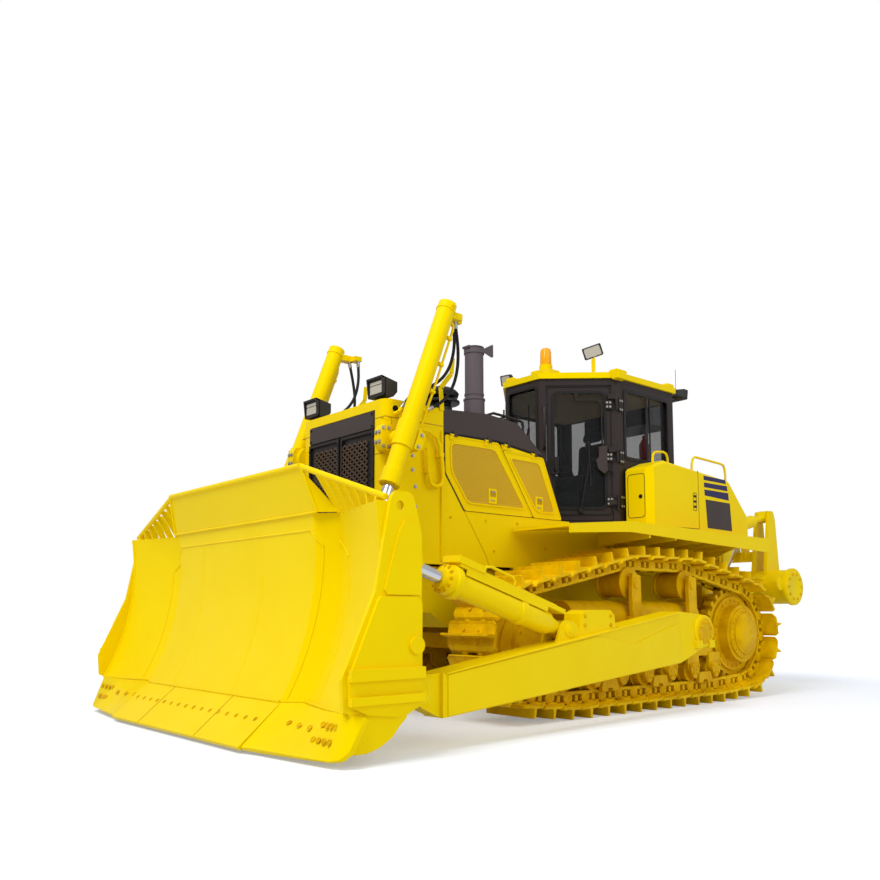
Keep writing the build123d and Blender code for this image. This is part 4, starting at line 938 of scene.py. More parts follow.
@dataclass
class WheelFittings:
    """Caps, bolt rings and guards on the wheels and rollers of both sides."""

    axle_height: float = 0.680
    idler_ahead: float = 3.275
    idler_height: float = 0.640
    roller_height: float = 0.3273
    first_roller: float = 0.530
    last_roller: float = 2.809
    roller_count: int = 7
    cover_face: float = TRACK_Y + 0.225     # outer face of the final drive's cover
    plate_face: float = TRACK_Y + 0.163     # outer face of the bogie plates

    def roller_places(self) -> list[float]:
        """Places of the track rollers ahead of the sprocket axle."""
        gap = (self.last_roller - self.first_roller) / (self.roller_count - 1)
        return [self.first_roller + k * gap for k in range(self.roller_count)]

    def covers(self, side: int) -> Shape:
        """Domed final-drive cover, idler hub and roller caps of one side."""
        out = outward(side)
        shape = Shape()
        shape.lathe(at(0, side * (self.cover_face - 0.046), self.axle_height), out, [
            (0.0, 0.262), (0.022, 0.262), (0.026, 0.252), (0.032, 0.212), (0.060, 0.190),
            (0.076, 0.140), (0.083, 0.070), (0.084, 0.034), (0.079, 0.030), (0.079, 0.0)], 48)
        shape.lathe(at(0, side * (TRACK_Y + 0.05), self.axle_height), out,
                    [(0.0, 0.395), (0.02, 0.395), (0.022, 0.3)], 40)
        shape.lathe(at(self.idler_ahead, side * (TRACK_Y + 0.113), self.idler_height), out, [
            (0.0, 0.300), (0.012, 0.295), (0.016, 0.180), (0.050, 0.165), (0.054, 0.110)], 36)
        for ahead in self.roller_places():
            centre = at(ahead, side * self.plate_face, self.roller_height)
            shape.prism([(centre.x + x, centre.z + z) for x, z in (
                (-0.082, 0.052), (-0.072, 0.068), (0.072, 0.068), (0.082, 0.052), (0.062, -0.032),
                (0.020, -0.080), (-0.020, -0.080), (-0.062, -0.032))], View.SIDE,
                *sorted((centre.y, centre.y + side * 0.022)))
            shape.lathe(centre + out * 0.020, out,
                        [(0.0, 0.034), (0.008, 0.030), (0.009, 0.012), (0.004, 0.010)], 16)
        return shape

    def guards(self, side: int) -> Shape:
        """Chain guards between the rollers, low on the bogie plates."""
        shape = Shape()
        places = self.roller_places()
        for first, second in list(zip(places, places[1:]))[::2]:
            x, low = REAR + (first + second) / 2, side * (TRACK_Y + 0.134)
            high = side * (TRACK_Y + 0.176)
            shape.prism([(x - 0.10, 0.305), (x + 0.10, 0.305), (x + 0.12, 0.235), (x + 0.11, 0.205),
                         (x + 0.04, 0.200), (x + 0.03, 0.228), (x - 0.03, 0.228), (x - 0.04, 0.200),
                         (x - 0.11, 0.205), (x - 0.12, 0.235)], View.SIDE, *sorted((low, high)))
        return shape

    def carrier_flanges(self, side: int) -> Shape:
        """Double flanges of the two carrier rollers and the caps of their posts."""
        shape = Shape()
        out = outward(side)
        for ahead in (0.980, 1.890):
            for face in (0.122, -0.148):
                shape.lathe(at(ahead, side * (TRACK_Y + face), 1.175), out, [
                    (0.0, 0.100), (0.004, 0.150), (0.018, 0.150), (0.026, 0.100)], 28)
            shape.lathe(at(ahead, side * (TRACK_Y + 0.145), 1.175), out, [
                (0.0, 0.075), (0.016, 0.060), (0.018, 0.045), (0.040, 0.042)], 20)
            shape.lathe(at(ahead, side * (TRACK_Y + 0.224), 1.175), out,
                        [(0.0, 0.052), (0.010, 0.050), (0.012, 0.026)], 16)
        return shape

    def bolts(self, side: int) -> list[Place]:
        """Places of every bolt of one side."""
        out = outward(side)
        cover = at(0, side * (self.cover_face - 0.022), self.axle_height)
        places = ring_of(cover, out, 0.236, 26)
        places += ring_of(at(0, side * (TRACK_Y + 0.070), self.axle_height), out, 0.350, 26)
        places += ring_of(at(self.idler_ahead, side * (TRACK_Y + 0.163), self.idler_height), out, 0.140, 8)
        for ahead in self.roller_places():
            for x, z in ((-0.055, 0.045), (0.055, 0.045), (-0.036, -0.030), (0.036, -0.030)):
                places.append((at(ahead + x, side * (self.plate_face + 0.022), self.roller_height + z), out,
                               AHEAD))
        return places

    def build(self) -> None:
        """Make both sides."""
        for side, name in SIDES:
            self.covers(side).piece(f"wheel_covers_{name}", YELLOW_CAST, "root", 2.0)
            self.guards(side).piece(f"chain_guards_{name}", YELLOW_CAST, "root", 3.0)
            self.carrier_flanges(side).piece(f"carrier_flanges_{name}", YELLOW_CAST, "root", 0.0)
            bolted(f"wheel_bolts_{name}", bolt_head(0.012, 0.012), self.bolts(side), YELLOW_CAST, "root")


# =====================================================================================
# Blade and push arms
# =====================================================================================
@dataclass
class SigmaBlade:
    """Weld lines, wear edges and bolts of the sigma blade, all worked out from its curved section."""

    top: tuple[float, float] = (5.300, 1.590)       # upper edge of the face, ahead and up
    middle: tuple[float, float] = (5.300, 0.950)
    foot: tuple[float, float] = (5.530, 0.310)      # where the cutting edges are bolted on
    bends: Corners = ((0.0, 0.0), (1.100, 0.0), (1.250, -0.120), (2.030, 0.100))
    half: float = 1.980
    edge_thick: float = 0.035
    middle_edge: tuple[float, float, float, float] = (5.530, 0.310, 5.8396, 0.0455)
    wing_edge: tuple[tuple[float, float, float, float, float], ...] = (
        # distance from the middle, then head and tip as ahead and height
        (1.112, 5.530, 0.310, 5.822, 0.046), (1.250, 5.418, 0.310, 5.790, 0.045),
        (1.700, 5.545, 0.310, 5.738, 0.045), (1.950, 5.612, 0.314, 5.705, 0.045),
        (2.025, 5.578, 0.306, 5.680, 0.060), (2.062, 5.525, 0.294, 5.632, 0.108),
    )
    body: str = "blade"

    def forward(self, y: float) -> float:
        """Forward offset of the section at a distance from the middle."""
        for (y0, x0), (y1, x1) in zip(self.bends, self.bends[1:]):
            if abs(y) <= y1:
                return x0 + (x1 - x0) * (abs(y) - y0) / (y1 - y0)
        return self.bends[-1][1]

    def face(self, y: float, z: float, proud: float = 0.0) -> Vector:
        """Point on the curved face.

        Args:
            y: distance to the left.
            z: height.
            proud: how far it stands before the face.

        Returns:
            The point.
        """
        mid_z = (self.top[1] + self.middle[1]) / 2
        rise, drop = self.top[1] - mid_z, mid_z - self.foot[1]
        reach = self.foot[0] - self.top[0]
        centre = self.top[0] + (reach * reach + drop * drop - rise * rise) / (2 * reach)
        radius = math.hypot(centre - self.top[0], rise)
        return at(centre - math.sqrt(radius * radius - (z - mid_z) ** 2) + self.forward(y) + proud, y, z)

    def bead(self, shape: Shape, stops: Outline, radius: float = 0.006) -> None:
        """Weld bead on the face through stops given as distance from the middle and height."""
        path = []
        for (y0, z0), (y1, z1) in zip(stops, stops[1:]):
            steps = max(2, round(math.hypot(y1 - y0, z1 - z0) / 0.08))
            path += [self.face(y0 + (y1 - y0) * k / steps, z0 + (z1 - z0) * k / steps) for k in range(steps)]
        path.append(self.face(*stops[-1]))
        shape.pipe(path, radius, 6)

    def edge_point(self, y: float, share: float, proud: float = 0.0) -> tuple[Vector, Vector]:
        """Point on the front of the cutting edges and the direction it faces.

        Args:
            y: distance to the left.
            share: share of the way from the top to the tip.
            proud: how far it stands before the edge.

        Returns:
            The point and the facing direction.
        """
        head, tip = self.edge_ends(y)
        run = tip - head
        facing = Vector((-run.z, 0, run.x)).normalized()
        return head + run * share + facing * proud, facing

    def edge_ends(self, y: float) -> tuple[Vector, Vector]:
        """Upper end and tip of the cutting edges at a distance from the middle."""
        stations = self.wing_edge
        if abs(y) < stations[0][0]:
            values = self.middle_edge
        else:
            k = max(i for i in range(len(stations) - 1) if abs(y) >= stations[i][0])
            share = min(1.0, (abs(y) - stations[k][0]) / (stations[k + 1][0] - stations[k][0]))
            values = tuple(a + (b - a) * share for a, b in zip(stations[k][1:], stations[k + 1][1:]))
        return at(values[0], y, values[1]), at(values[2], y, values[3])

    def edges(self) -> None:
        """Cutting edges and end bits, which stand for the plain ones."""
        shape = Shape()
        runs = [[-1.106, -0.55, 0.20, 1.106]]
        runs += [[side * station[0] for station in self.wing_edge] for side in (LEFT, RIGHT)]
        for run in runs:
            rings = []
            for y in run:
                head, tip = self.edge_ends(y)
                down = (tip - head).normalized()
                back = Vector((down.z, 0, -down.x)) * self.edge_thick
                rings.append([head, tip, tip + back, head + back])
            shape.hull_between(rings)
        made = shape.piece("blade_cutting_edges", YELLOW, self.body, 5.0)
        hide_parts("cutting_edge")
        toe = Shape()
        outline = [(5.600, 0.330), (5.575, 0.085), (5.560, 0.072), (5.474, 0.075), (5.380, 0.100),
                   (5.290, 0.150), (5.230, 0.216), (5.176, 0.262), (5.176, 0.330)]
        for side in (LEFT, RIGHT):
            toe.slab(outline, *sorted((side * 1.978, side * 2.012)))
            toe.lathe(at(5.000, side * 1.905, 0.405), outward(side), [
                (0.0, 0.084), (0.020, 0.084), (0.026, 0.076), (0.030, 0.060), (0.027, 0.056), (0.027, 0.020)],
                32)
        toe.piece("end_plate_toes", YELLOW, self.body, 4.0)
        fill = Shape()
        for side in (LEFT, RIGHT):
            corners = [at(5.303, side * 1.166, 1.592), at(5.190, side * 1.275, 1.592),
                       at(5.365, side * 1.112, 1.850)]
            fill.hull_between([[c + Vector((shift, 0, 0)) for c in corners] for shift in (-0.006, 0.006)])
        fill.piece("spill_guard_gussets", YELLOW, self.body, 1.0)

    def weld_lines(self) -> None:
        """Outline of the wear liner, plate joints, and the beads round the face."""
        liner = Shape()
        high, cut = 1.475, 1.36
        self.bead(liner, [(-1.06, high), (1.06, high)], 0.008)
        for side in (LEFT, RIGHT):
            self.bead(liner, [(side * 1.06, high), (side * 1.15, cut)], 0.008)
            self.bead(liner, [(side * 1.15, cut), (side * 1.14, 0.90), (side * 1.13, 0.33)], 0.005)
            self.bead(liner, [(side * 1.24, 1.40), (side * 1.40, 1.28)], 0.008)
            self.bead(liner, [(side * 1.42, 1.27), (side * 1.43, 0.33)], 0.005)
            self.bead(liner, [(side * 1.96, 1.58), (side * 1.96, 0.32)], 0.010)
        for y in (-0.62, 0.38):
            self.bead(liner, [(y, 1.46), (y, 0.33)], 0.0028)
        liner.piece("blade_weld_lines", YELLOW, self.body, 0.0)

    def edge_joints(self) -> None:
        """Bead above the cutting edges, and the gaps between their plates."""
        upper = Shape()
        upper.pipe([self.edge_point(y, 0.0, 0.004)[0] for y in (-1.098, 0.0, 1.098)], 0.011, 8)
        for side in (LEFT, RIGHT):
            upper.pipe([self.edge_point(side * y, 0.0, 0.004)[0] for y in (1.25, 1.60, 1.97)], 0.011, 8)
        upper.piece("cutting_edge_welds", YELLOW, self.body, 0.0)
        gaps = Shape()
        for y in (-0.55, 0.45):
            gaps.pipe([self.edge_point(y, share, 0.0)[0] for share in (0.01, 0.5, 0.99)], 0.0035, 6)
        gaps.piece("cutting_edge_joints", EDGE_LINE, self.body, 0.0)

    def plough_bolts(self) -> None:
        """Countersunk bolts of the cutting edges and end bits."""
        pattern = Shape().lathe(Vector((0, 0, -0.001)), UP, [
            (0.0, 0.026), (0.004, 0.024), (0.005, 0.018), (0.001, 0.016), (0.001, 0.0)], 16)
        places = []
        middle = [k * 0.134 - 1.005 for k in range(16)]
        rows = [(y, 0.42) for y in middle]
        for side in (LEFT, RIGHT):
            rows += [(side * (1.30 + 0.15 * k), 0.42) for k in range(3)]
            rows += [(side * (1.74 + 0.06 * k), 0.30) for k in range(4)]
            rows += [(side * (1.72 + 0.06 * k), 0.62) for k in range(4)]
        for y, share in rows:
            point, facing = self.edge_point(y, share)
            places.append((point, facing, ACROSS))
        REPEATER.repeat("cutting_edge_bolts", pattern, places, YELLOW_CAST, self.body, 0.8)

    def guard_seams(self) -> None:
        """Folded corners and welds of the spill guard's middle plate."""
        shape = Shape()
        foot, rise = at(self.top[0] + 0.004, 0, 1.592), Vector((0.100, 0, 0.340)).normalized()
        for side in (LEFT, RIGHT):
            low = foot + Vector((0, side * 1.168, 0))
            high = foot + rise * 0.350 + Vector((0, side * 1.088, 0))
            shape.pipe([low, high], 0.011, 8)
        shape.pipe([foot + Vector((0.004, y, 0)) for y in (-1.165, 0.0, 1.165)], 0.009, 8)
        shape.piece("spill_guard_welds", YELLOW, self.body, 0.0)

    def build(self) -> None:
        """Everything on the blade's front."""
        self.edges()
        self.weld_lines()
        self.edge_joints()
        self.plough_bolts()
        self.guard_seams()


@dataclass
class PushArms:
    """Cover plates, trim and pivot bolts of the push arms."""

    rear_end: tuple[float, float] = (1.770, 1.670)      # start of the slanted part: ahead, outer face
    front_end: tuple[float, float] = (4.780, 1.890)
    # height of the upper and lower edge at the rear, then at the front
    heights: tuple[float, float, float, float] = (0.910, 0.450, 0.505, 0.215)
    pivot: tuple[float, float] = (1.400, 0.730)
    body: str = "blade"

    def outer(self, ahead: float) -> float:
        """Outer face of the left arm."""
        share = (ahead - self.rear_end[0]) / (self.front_end[0] - self.rear_end[0])
        return self.rear_end[1] + (self.front_end[1] - self.rear_end[1]) * max(share, 0.0)

    def level(self, ahead: float, share: float) -> float:
        """Height on the arm's side, from its lower edge at 0 to its top at 1."""
        run = max(0.0, (ahead - self.rear_end[0]) / (self.front_end[0] - self.rear_end[0]))
        top = self.heights[0] + (self.heights[2] - self.heights[0]) * run
        low = self.heights[1] + (self.heights[3] - self.heights[1]) * run
        return low + (top - low) * share

    def side_plate(self, stops: Outline, side: int, thick: float) -> Shape:
        """Plate on the slanted side, its corners given as place ahead and share of the height."""
        shape = Shape()
        shape.hull_between([
            [at(x, side * (self.outer(x) + proud), self.level(x, share)) for x, share in stops]
            for proud in (-0.004, thick)
        ])
        return shape

    def build(self) -> None:
        """Both arms."""
        lower = [(1.80, 0.02), (4.74, 0.02), (4.74, 0.94), (3.05, 0.93), (2.50, 0.60), (1.80, 0.78)]
        for side, name in SIDES:
            self.side_plate(lower, side, 0.010).piece(f"push_arm_plate_{name}", YELLOW, self.body, 4.0)
            trim = self.side_plate([(1.80, 0.965), (4.76, 0.965), (4.76, 1.0), (1.80, 1.0)], side, 0.016)
            trim.lathe(at(self.pivot[0], side * 1.668, self.pivot[1]), outward(side), [
                (0.0, 0.150), (0.016, 0.148), (0.020, 0.124)], 32)
            for x in (1.30, 1.50):
                trim.box((x - 0.045, side * 1.664, 0.575), (x + 0.045, side * 1.700, 0.645))
            trim.piece(f"push_arm_trim_{name}", YELLOW, self.body, 4.0)
            centre = at(self.pivot[0], side * 1.696, self.pivot[1])
            bolted(f"pivot_bolts_{name}", bolt_head(0.013, 0.012),
                   ring_of(centre, outward(side), 0.090, 8, 0.3), YELLOW_CAST, "root")


# =====================================================================================
# Hoses and lift cylinders
# =====================================================================================
@dataclass
class LiftHoses:
    """Rubber hoses from the guard to the lift cylinders, free between their two fittings."""

    diameter: float = 0.028
    rear_route: tuple[Point, ...] = (
        (3.930, 0.695, 2.610), (3.850, 0.706, 2.645), (3.770, 0.722, 2.705), (3.705, 0.740, 2.790),
        (3.665, 0.757, 2.895), (3.648, 0.772, 3.020), (3.655, 0.785, 3.150), (3.677, 0.793, 3.275),
        (3.705, 0.798, 3.400),
    )
    front_route: tuple[Point, ...] = (
        (4.200, 0.690, 2.580), (4.140, 0.691, 2.670), (4.050, 0.694, 2.735), (3.945, 0.700, 2.785),
        (3.840, 0.706, 2.845), (3.750, 0.712, 2.925), (3.685, 0.716, 3.030), (3.650, 0.719, 3.150),
        (3.640, 0.721, 3.275), (3.652, 0.722, 3.400),
    )
    lengths: tuple[float, float] = (0.922, 1.073)

    def line(self, name: str, route: Sequence[Vector]) -> list[Vector]:
        """Points read along the smooth curve of a route.

        Args:
            name: name of the curve.
            route: control points of the curve.

        Returns:
            Points of the curve, in order.
        """
        curve = bpy.data.curves.new(name + "_line", "CURVE")
        curve.dimensions = "3D"
        curve.resolution_u = 5
        spline = curve.splines.new("NURBS")
        spline.points.add(len(route) - 1)
        for spot, point in zip(spline.points, route):
            spot.co = (*point, 1.0)
        spline.order_u = 3
        spline.use_endpoint_u = True
        host = placed(name + "_line", curve)
        mesh = evaluated(host)
        found = [v.co.copy() for v in mesh.vertices]
        bpy.data.objects.remove(host)
        bpy.data.meshes.remove(mesh)
        return found

    def build(self) -> None:
        """Four hoses from the guard to the barrels, which stand for the plain ones."""
        for side, hand in SIDES:
            for route, place, length in ((self.rear_route, "rear", self.lengths[0]),
                                         (self.front_route, "front", self.lengths[1])):
                name = f"lift_hose_{hand}_{place}"
                points = self.line(name, [at(x, side * y, z) for x, y, z in route])
                hose = Shape().pipe(points, self.diameter / 2, 12)
                hose = hose.piece(name + "_rubber", RUBBER, None, 0.0)
                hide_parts(name)
                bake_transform(hose)


@dataclass
class LiftCylinders:
    """Barrels of the two blade lift cylinders with their trunnions, ports, pipes and bolts."""

    eye_line: float = 0.840                     # distance from the middle
    top: tuple[float, float] = (3.8197, 3.515)
    gland: tuple[float, float] = (4.437, 1.899)
    pivot: float = 1.290                        # distance of the trunnion from the top
    barrel: Corners = (
        # distance from the top and radius
        (0.000, 0.066), (0.006, 0.079), (0.060, 0.079), (0.062, 0.085), (0.078, 0.085), (0.080, 0.078),
        (1.160, 0.078), (1.163, 0.090), (1.395, 0.090), (1.398, 0.077), (1.595, 0.075), (1.600, 0.087),
        (1.725, 0.087), (1.732, 0.078), (1.735, 0.047))
    crimp: Corners = ((0.0, 0.022), (0.018, 0.022), (0.019, 0.0175), (0.062, 0.0175), (0.066, 0.015))

    def ports(self, side: int, shape: Shape) -> None:
        """Two port blocks behind the top, that the hoses come up into."""
        for low, high in (((3.672, 0.768, 3.394), (3.810, 0.862, 3.452)),
                          ((3.622, 0.694, 3.394), (3.705, 0.800, 3.440))):
            shape.box((low[0], side * low[1], low[2]), (high[0], side * high[1], high[2]))

    def crimps(self, side: int, hand: str) -> None:
        """Crimped fittings on both ends of each hose."""
        for place, route in (("rear", LiftHoses.rear_route), ("front", LiftHoses.front_route)):
            for label, end, towards, body in (("root_", route[0], route[1], "root"),
                                              ("", route[-1], route[-2], f"lift_barrel_{hand}")):
                foot, goal = (at(x, side * y, z) for x, y, z in (end, towards))
                crimp = Shape().lathe(foot, goal - foot, self.crimp, 14)
                crimp.piece(f"hose_crimp_{label}{hand}_{place}", STEEL, body, 0.0)

    def build(self) -> None:
        """Both cylinders, which stand for the plain barrels."""
        run = Vector((self.gland[0] - self.top[0], 0, self.gland[1] - self.top[1])).normalized()
        back = Vector((run.z, 0, -run.x))
        for side, hand in SIDES:
            body, out = f"lift_barrel_{hand}", outward(side)
            top = at(self.top[0], side * self.eye_line, self.top[1])
            pivot = top + run * self.pivot
            metal = Shape().lathe(top, run, self.barrel, 48)
            metal.lathe(pivot - out * 0.128, out,
                        [(0.0, 0.068), (0.128, 0.070), (0.190, 0.058), (0.196, 0.046), (0.200, 0.020)], 32)
            metal.hull_between([
                [pivot + back * d + run * a + out * b
                 for a, b in ((-k, -0.060), (k, -0.060), (k, 0.075), (-k, 0.075))]
                for d, k in ((0.070, 0.085), (0.128, 0.080), (0.146, 0.055))])
            metal.rod(top + run * 0.035 + out * 0.070, top + run * 0.035 + out * 0.098, 0.018, 12)
            self.ports(side, metal)
            line = [(0.155, 0.070), (0.165, 0.098), (0.210, 0.108), (0.820, 0.108), (0.900, 0.104),
                    (1.120, 0.100), (1.160, 0.080)]
            metal.pipe([top + run * s + back * d + out * 0.030 for s, d in line], 0.011, 10)
            for share in (0.30, 0.56, 0.82):
                metal.beam(top + run * share + back * 0.070 + out * 0.030,
                           top + run * share + back * 0.122 + out * 0.030, 0.036, 0.024, run)
            made = metal.piece(f"lift_cylinder_{hand}", YELLOW, body, 2.0)
            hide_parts(f"lift_barrel_{hand}")
            bolted(f"gland_bolts_{hand}", bolt_head(0.008, 0.007), ring_of(top + run * 1.733, run, 0.066, 10),
                   YELLOW_CAST, body)
            bolted(f"yoke_bolts_{hand}", bolt_head(0.014, 0.012), [
                (pivot + back * 0.105 + run * a + out * 0.075, out, run) for a in (-0.052, 0.052)],
                STEEL, body)
            self.crimps(side, hand)


# =====================================================================================
# Radiator guard
# =====================================================================================
@dataclass
class RadiatorGuard:
    """Front guard: mesh panels, blank plate, yoke caps, pipes, seams and bolts."""

    face: float = 4.330
    half: float = 0.640
    panel_face: float = 4.325
    panel_low: float = 1.44
    panel_high: float = 2.400
    panel_half: float = 0.485
    cell: tuple[float, float] = (0.074, 0.052)
    yoke: tuple[float, float] = (4.280, 2.310)
    # ahead and up from the yoke's middle
    yoke_cap: Corners = (
        (0.040, -0.110), (0.120, -0.105), (0.150, -0.060), (0.150, 0.060), (0.120, 0.105), (0.040, 0.110))

    def mesh_panels(self) -> None:
        """Expanded-metal panels, their frames and the middle bar."""
        wide, tall = self.cell
        pattern = Shape()
        for a, b in ((-1, -1), (-1, 1), (1, -1), (1, 1)):
            pattern.beam(Vector((0, a * wide / 2, 0.0)), Vector((b * tall / 2, 0, 0.0)), 0.010, 0.007)
        places = []
        for row in range(int((self.panel_high - self.panel_low - 0.03) / tall)):
            z = self.panel_low + 0.015 + tall / 2 + row * tall
            for half in (-1, 1):
                places += [(at(self.panel_face + 0.012, half * (0.038 + wide / 2 + wide * k), z), AHEAD,
                            UP) for k in range(int((self.panel_half - 0.048) / wide))]
        REPEATER.repeat("grille_mesh", pattern, places, GRILLE_BROWN, "root", smooth=False)
        frames = Shape()
        front = facing_ahead(self.panel_face)
        for half in (-1, 1):
            inner, outer = half * 0.028, half * self.panel_half
            front.band(frames, [(inner, self.panel_low), (outer, self.panel_low), (outer, self.panel_high),
                                (inner, self.panel_high)], 0.026, 0.020)
        frames.piece("grille_frames", BLACK, "root", 2.0)
        plate = Shape()
        front.plate(plate, pane(-0.492, 2.425, 0.492, 2.572, 0.012), 0.016)
        plate.piece("grille_blank_plate", CHARCOAL, "root", 2.0)
        screws = [(at(self.panel_face + 0.016, y, z), AHEAD, ACROSS)
                  for y in (-0.470, 0.470) for z in (2.447, 2.550)]
        screws += [(at(self.panel_face + 0.020, y, z), AHEAD, ACROSS)
                   for y in (-0.485, -0.028, 0.028, 0.485) for z in (1.60, 2.00, 2.36)]
        bolted("grille_screws", bolt_head(0.010, 0.007), screws, BLACK, "root")

    def sides(self, side: int, hand: str) -> None:
        """Seams, yoke cap, bolts, holes and pipe of one side."""
        skin = flank(self.half, side)
        seams = Shape()
        skin.strip(seams, [(3.705, 2.505), (4.328, 2.505)], 0.008, 0.0015)
        skin.strip(seams, [(4.262, 2.500), (4.262, 2.420)], 0.006, 0.0015)
        front = facing_ahead(self.face)
        front.strip(seams, [(side * 0.505, 2.505), (side * 0.638, 2.505)], 0.007, 0.0015)
        front.strip(seams, [(side * 0.505, 2.205), (side * 0.638, 2.205)], 0.007, 0.0015)
        skin.strip(seams, [(4.150, 2.205), (4.328, 2.205)], 0.006, 0.0015)
        seams.piece(f"guard_seams_{hand}", EDGE_LINE, "root", 0.0)
        holes = Shape()
        for x in (4.225, 4.130):
            holes.lathe(at(x, side * (self.half - 0.001), 2.580), outward(side),
                        [(0.0, 0.030), (0.003, 0.030)], 20)
        holes.piece(f"guard_ports_{hand}", BLACK, "root", 0.0)
        rims = Shape()
        for x in (4.225, 4.130):
            rims.lathe(at(x, side * self.half, 2.580), outward(side), [(0.0, 0.036), (0.002, 0.036)], 20)
        u_pipe = [(4.085, 2.392), (3.990, 2.425), (3.903, 2.428), (3.820, 2.385), (3.781, 2.312),
                  (3.755, 2.180), (3.745, 2.038), (3.765, 1.985), (3.817, 1.964), (3.865, 1.972),
                  (3.889, 1.990), (3.905, 2.060), (3.924, 2.283)]
        rims.pipe([at(x, side * 0.690, z) for x, z in u_pipe], 0.018, 10)
        for x, z in ((3.770, 2.240), (3.905, 2.090)):
            rims.box((x - 0.022, side * 0.638, z - 0.018), (x + 0.022, side * 0.708, z + 0.018))
        rims.hull_between([[at(self.yoke[0] + x, side * y, self.yoke[1] + z) for x, z in self.yoke_cap]
                           for y in (0.632, 0.722)])
        edge = [(3.725, 2.640), (3.740, 2.840), (3.615, 2.985), (3.600, 3.130)]
        for one, two in zip(edge, edge[1:]):
            rims.beam(at(one[0], side * 0.652, one[1]), at(two[0], side * 0.652, two[1]), 0.008, 0.044,
                      Vector((two[1] - one[1], 0, one[0] - two[0])))
        rims.box((3.715, side * 0.636, 1.340), (3.735, side * 0.660, 2.460))
        rims.piece(f"guard_fittings_{hand}", YELLOW, "root", 1.5)
        out = outward(side)
        bolts = [(at(self.yoke[0] + 0.150, side * y, self.yoke[1] + z), AHEAD, out)
                 for y in (0.655, 0.700) for z in (-0.040, 0.040)]
        bolts += [(at(self.yoke[0] + x, side * 0.722, self.yoke[1] + z), out, AHEAD)
                  for x in (0.070, 0.125) for z in (-0.075, 0.075)]
        bolts += [(at(4.040, side * self.half, z), out, AHEAD) for z in (2.450, 2.330, 2.210, 2.090)]
        bolts += [(at(4.010, side * self.half, z), out, AHEAD) for z in (1.95, 1.78)]
        bolted(f"guard_bolts_{hand}", bolt_head(0.014, 0.012), bolts, STEEL, "root")

    def build(self) -> None:
        """The whole guard."""
        self.mesh_panels()
        for side, hand in SIDES:
            self.sides(side, hand)


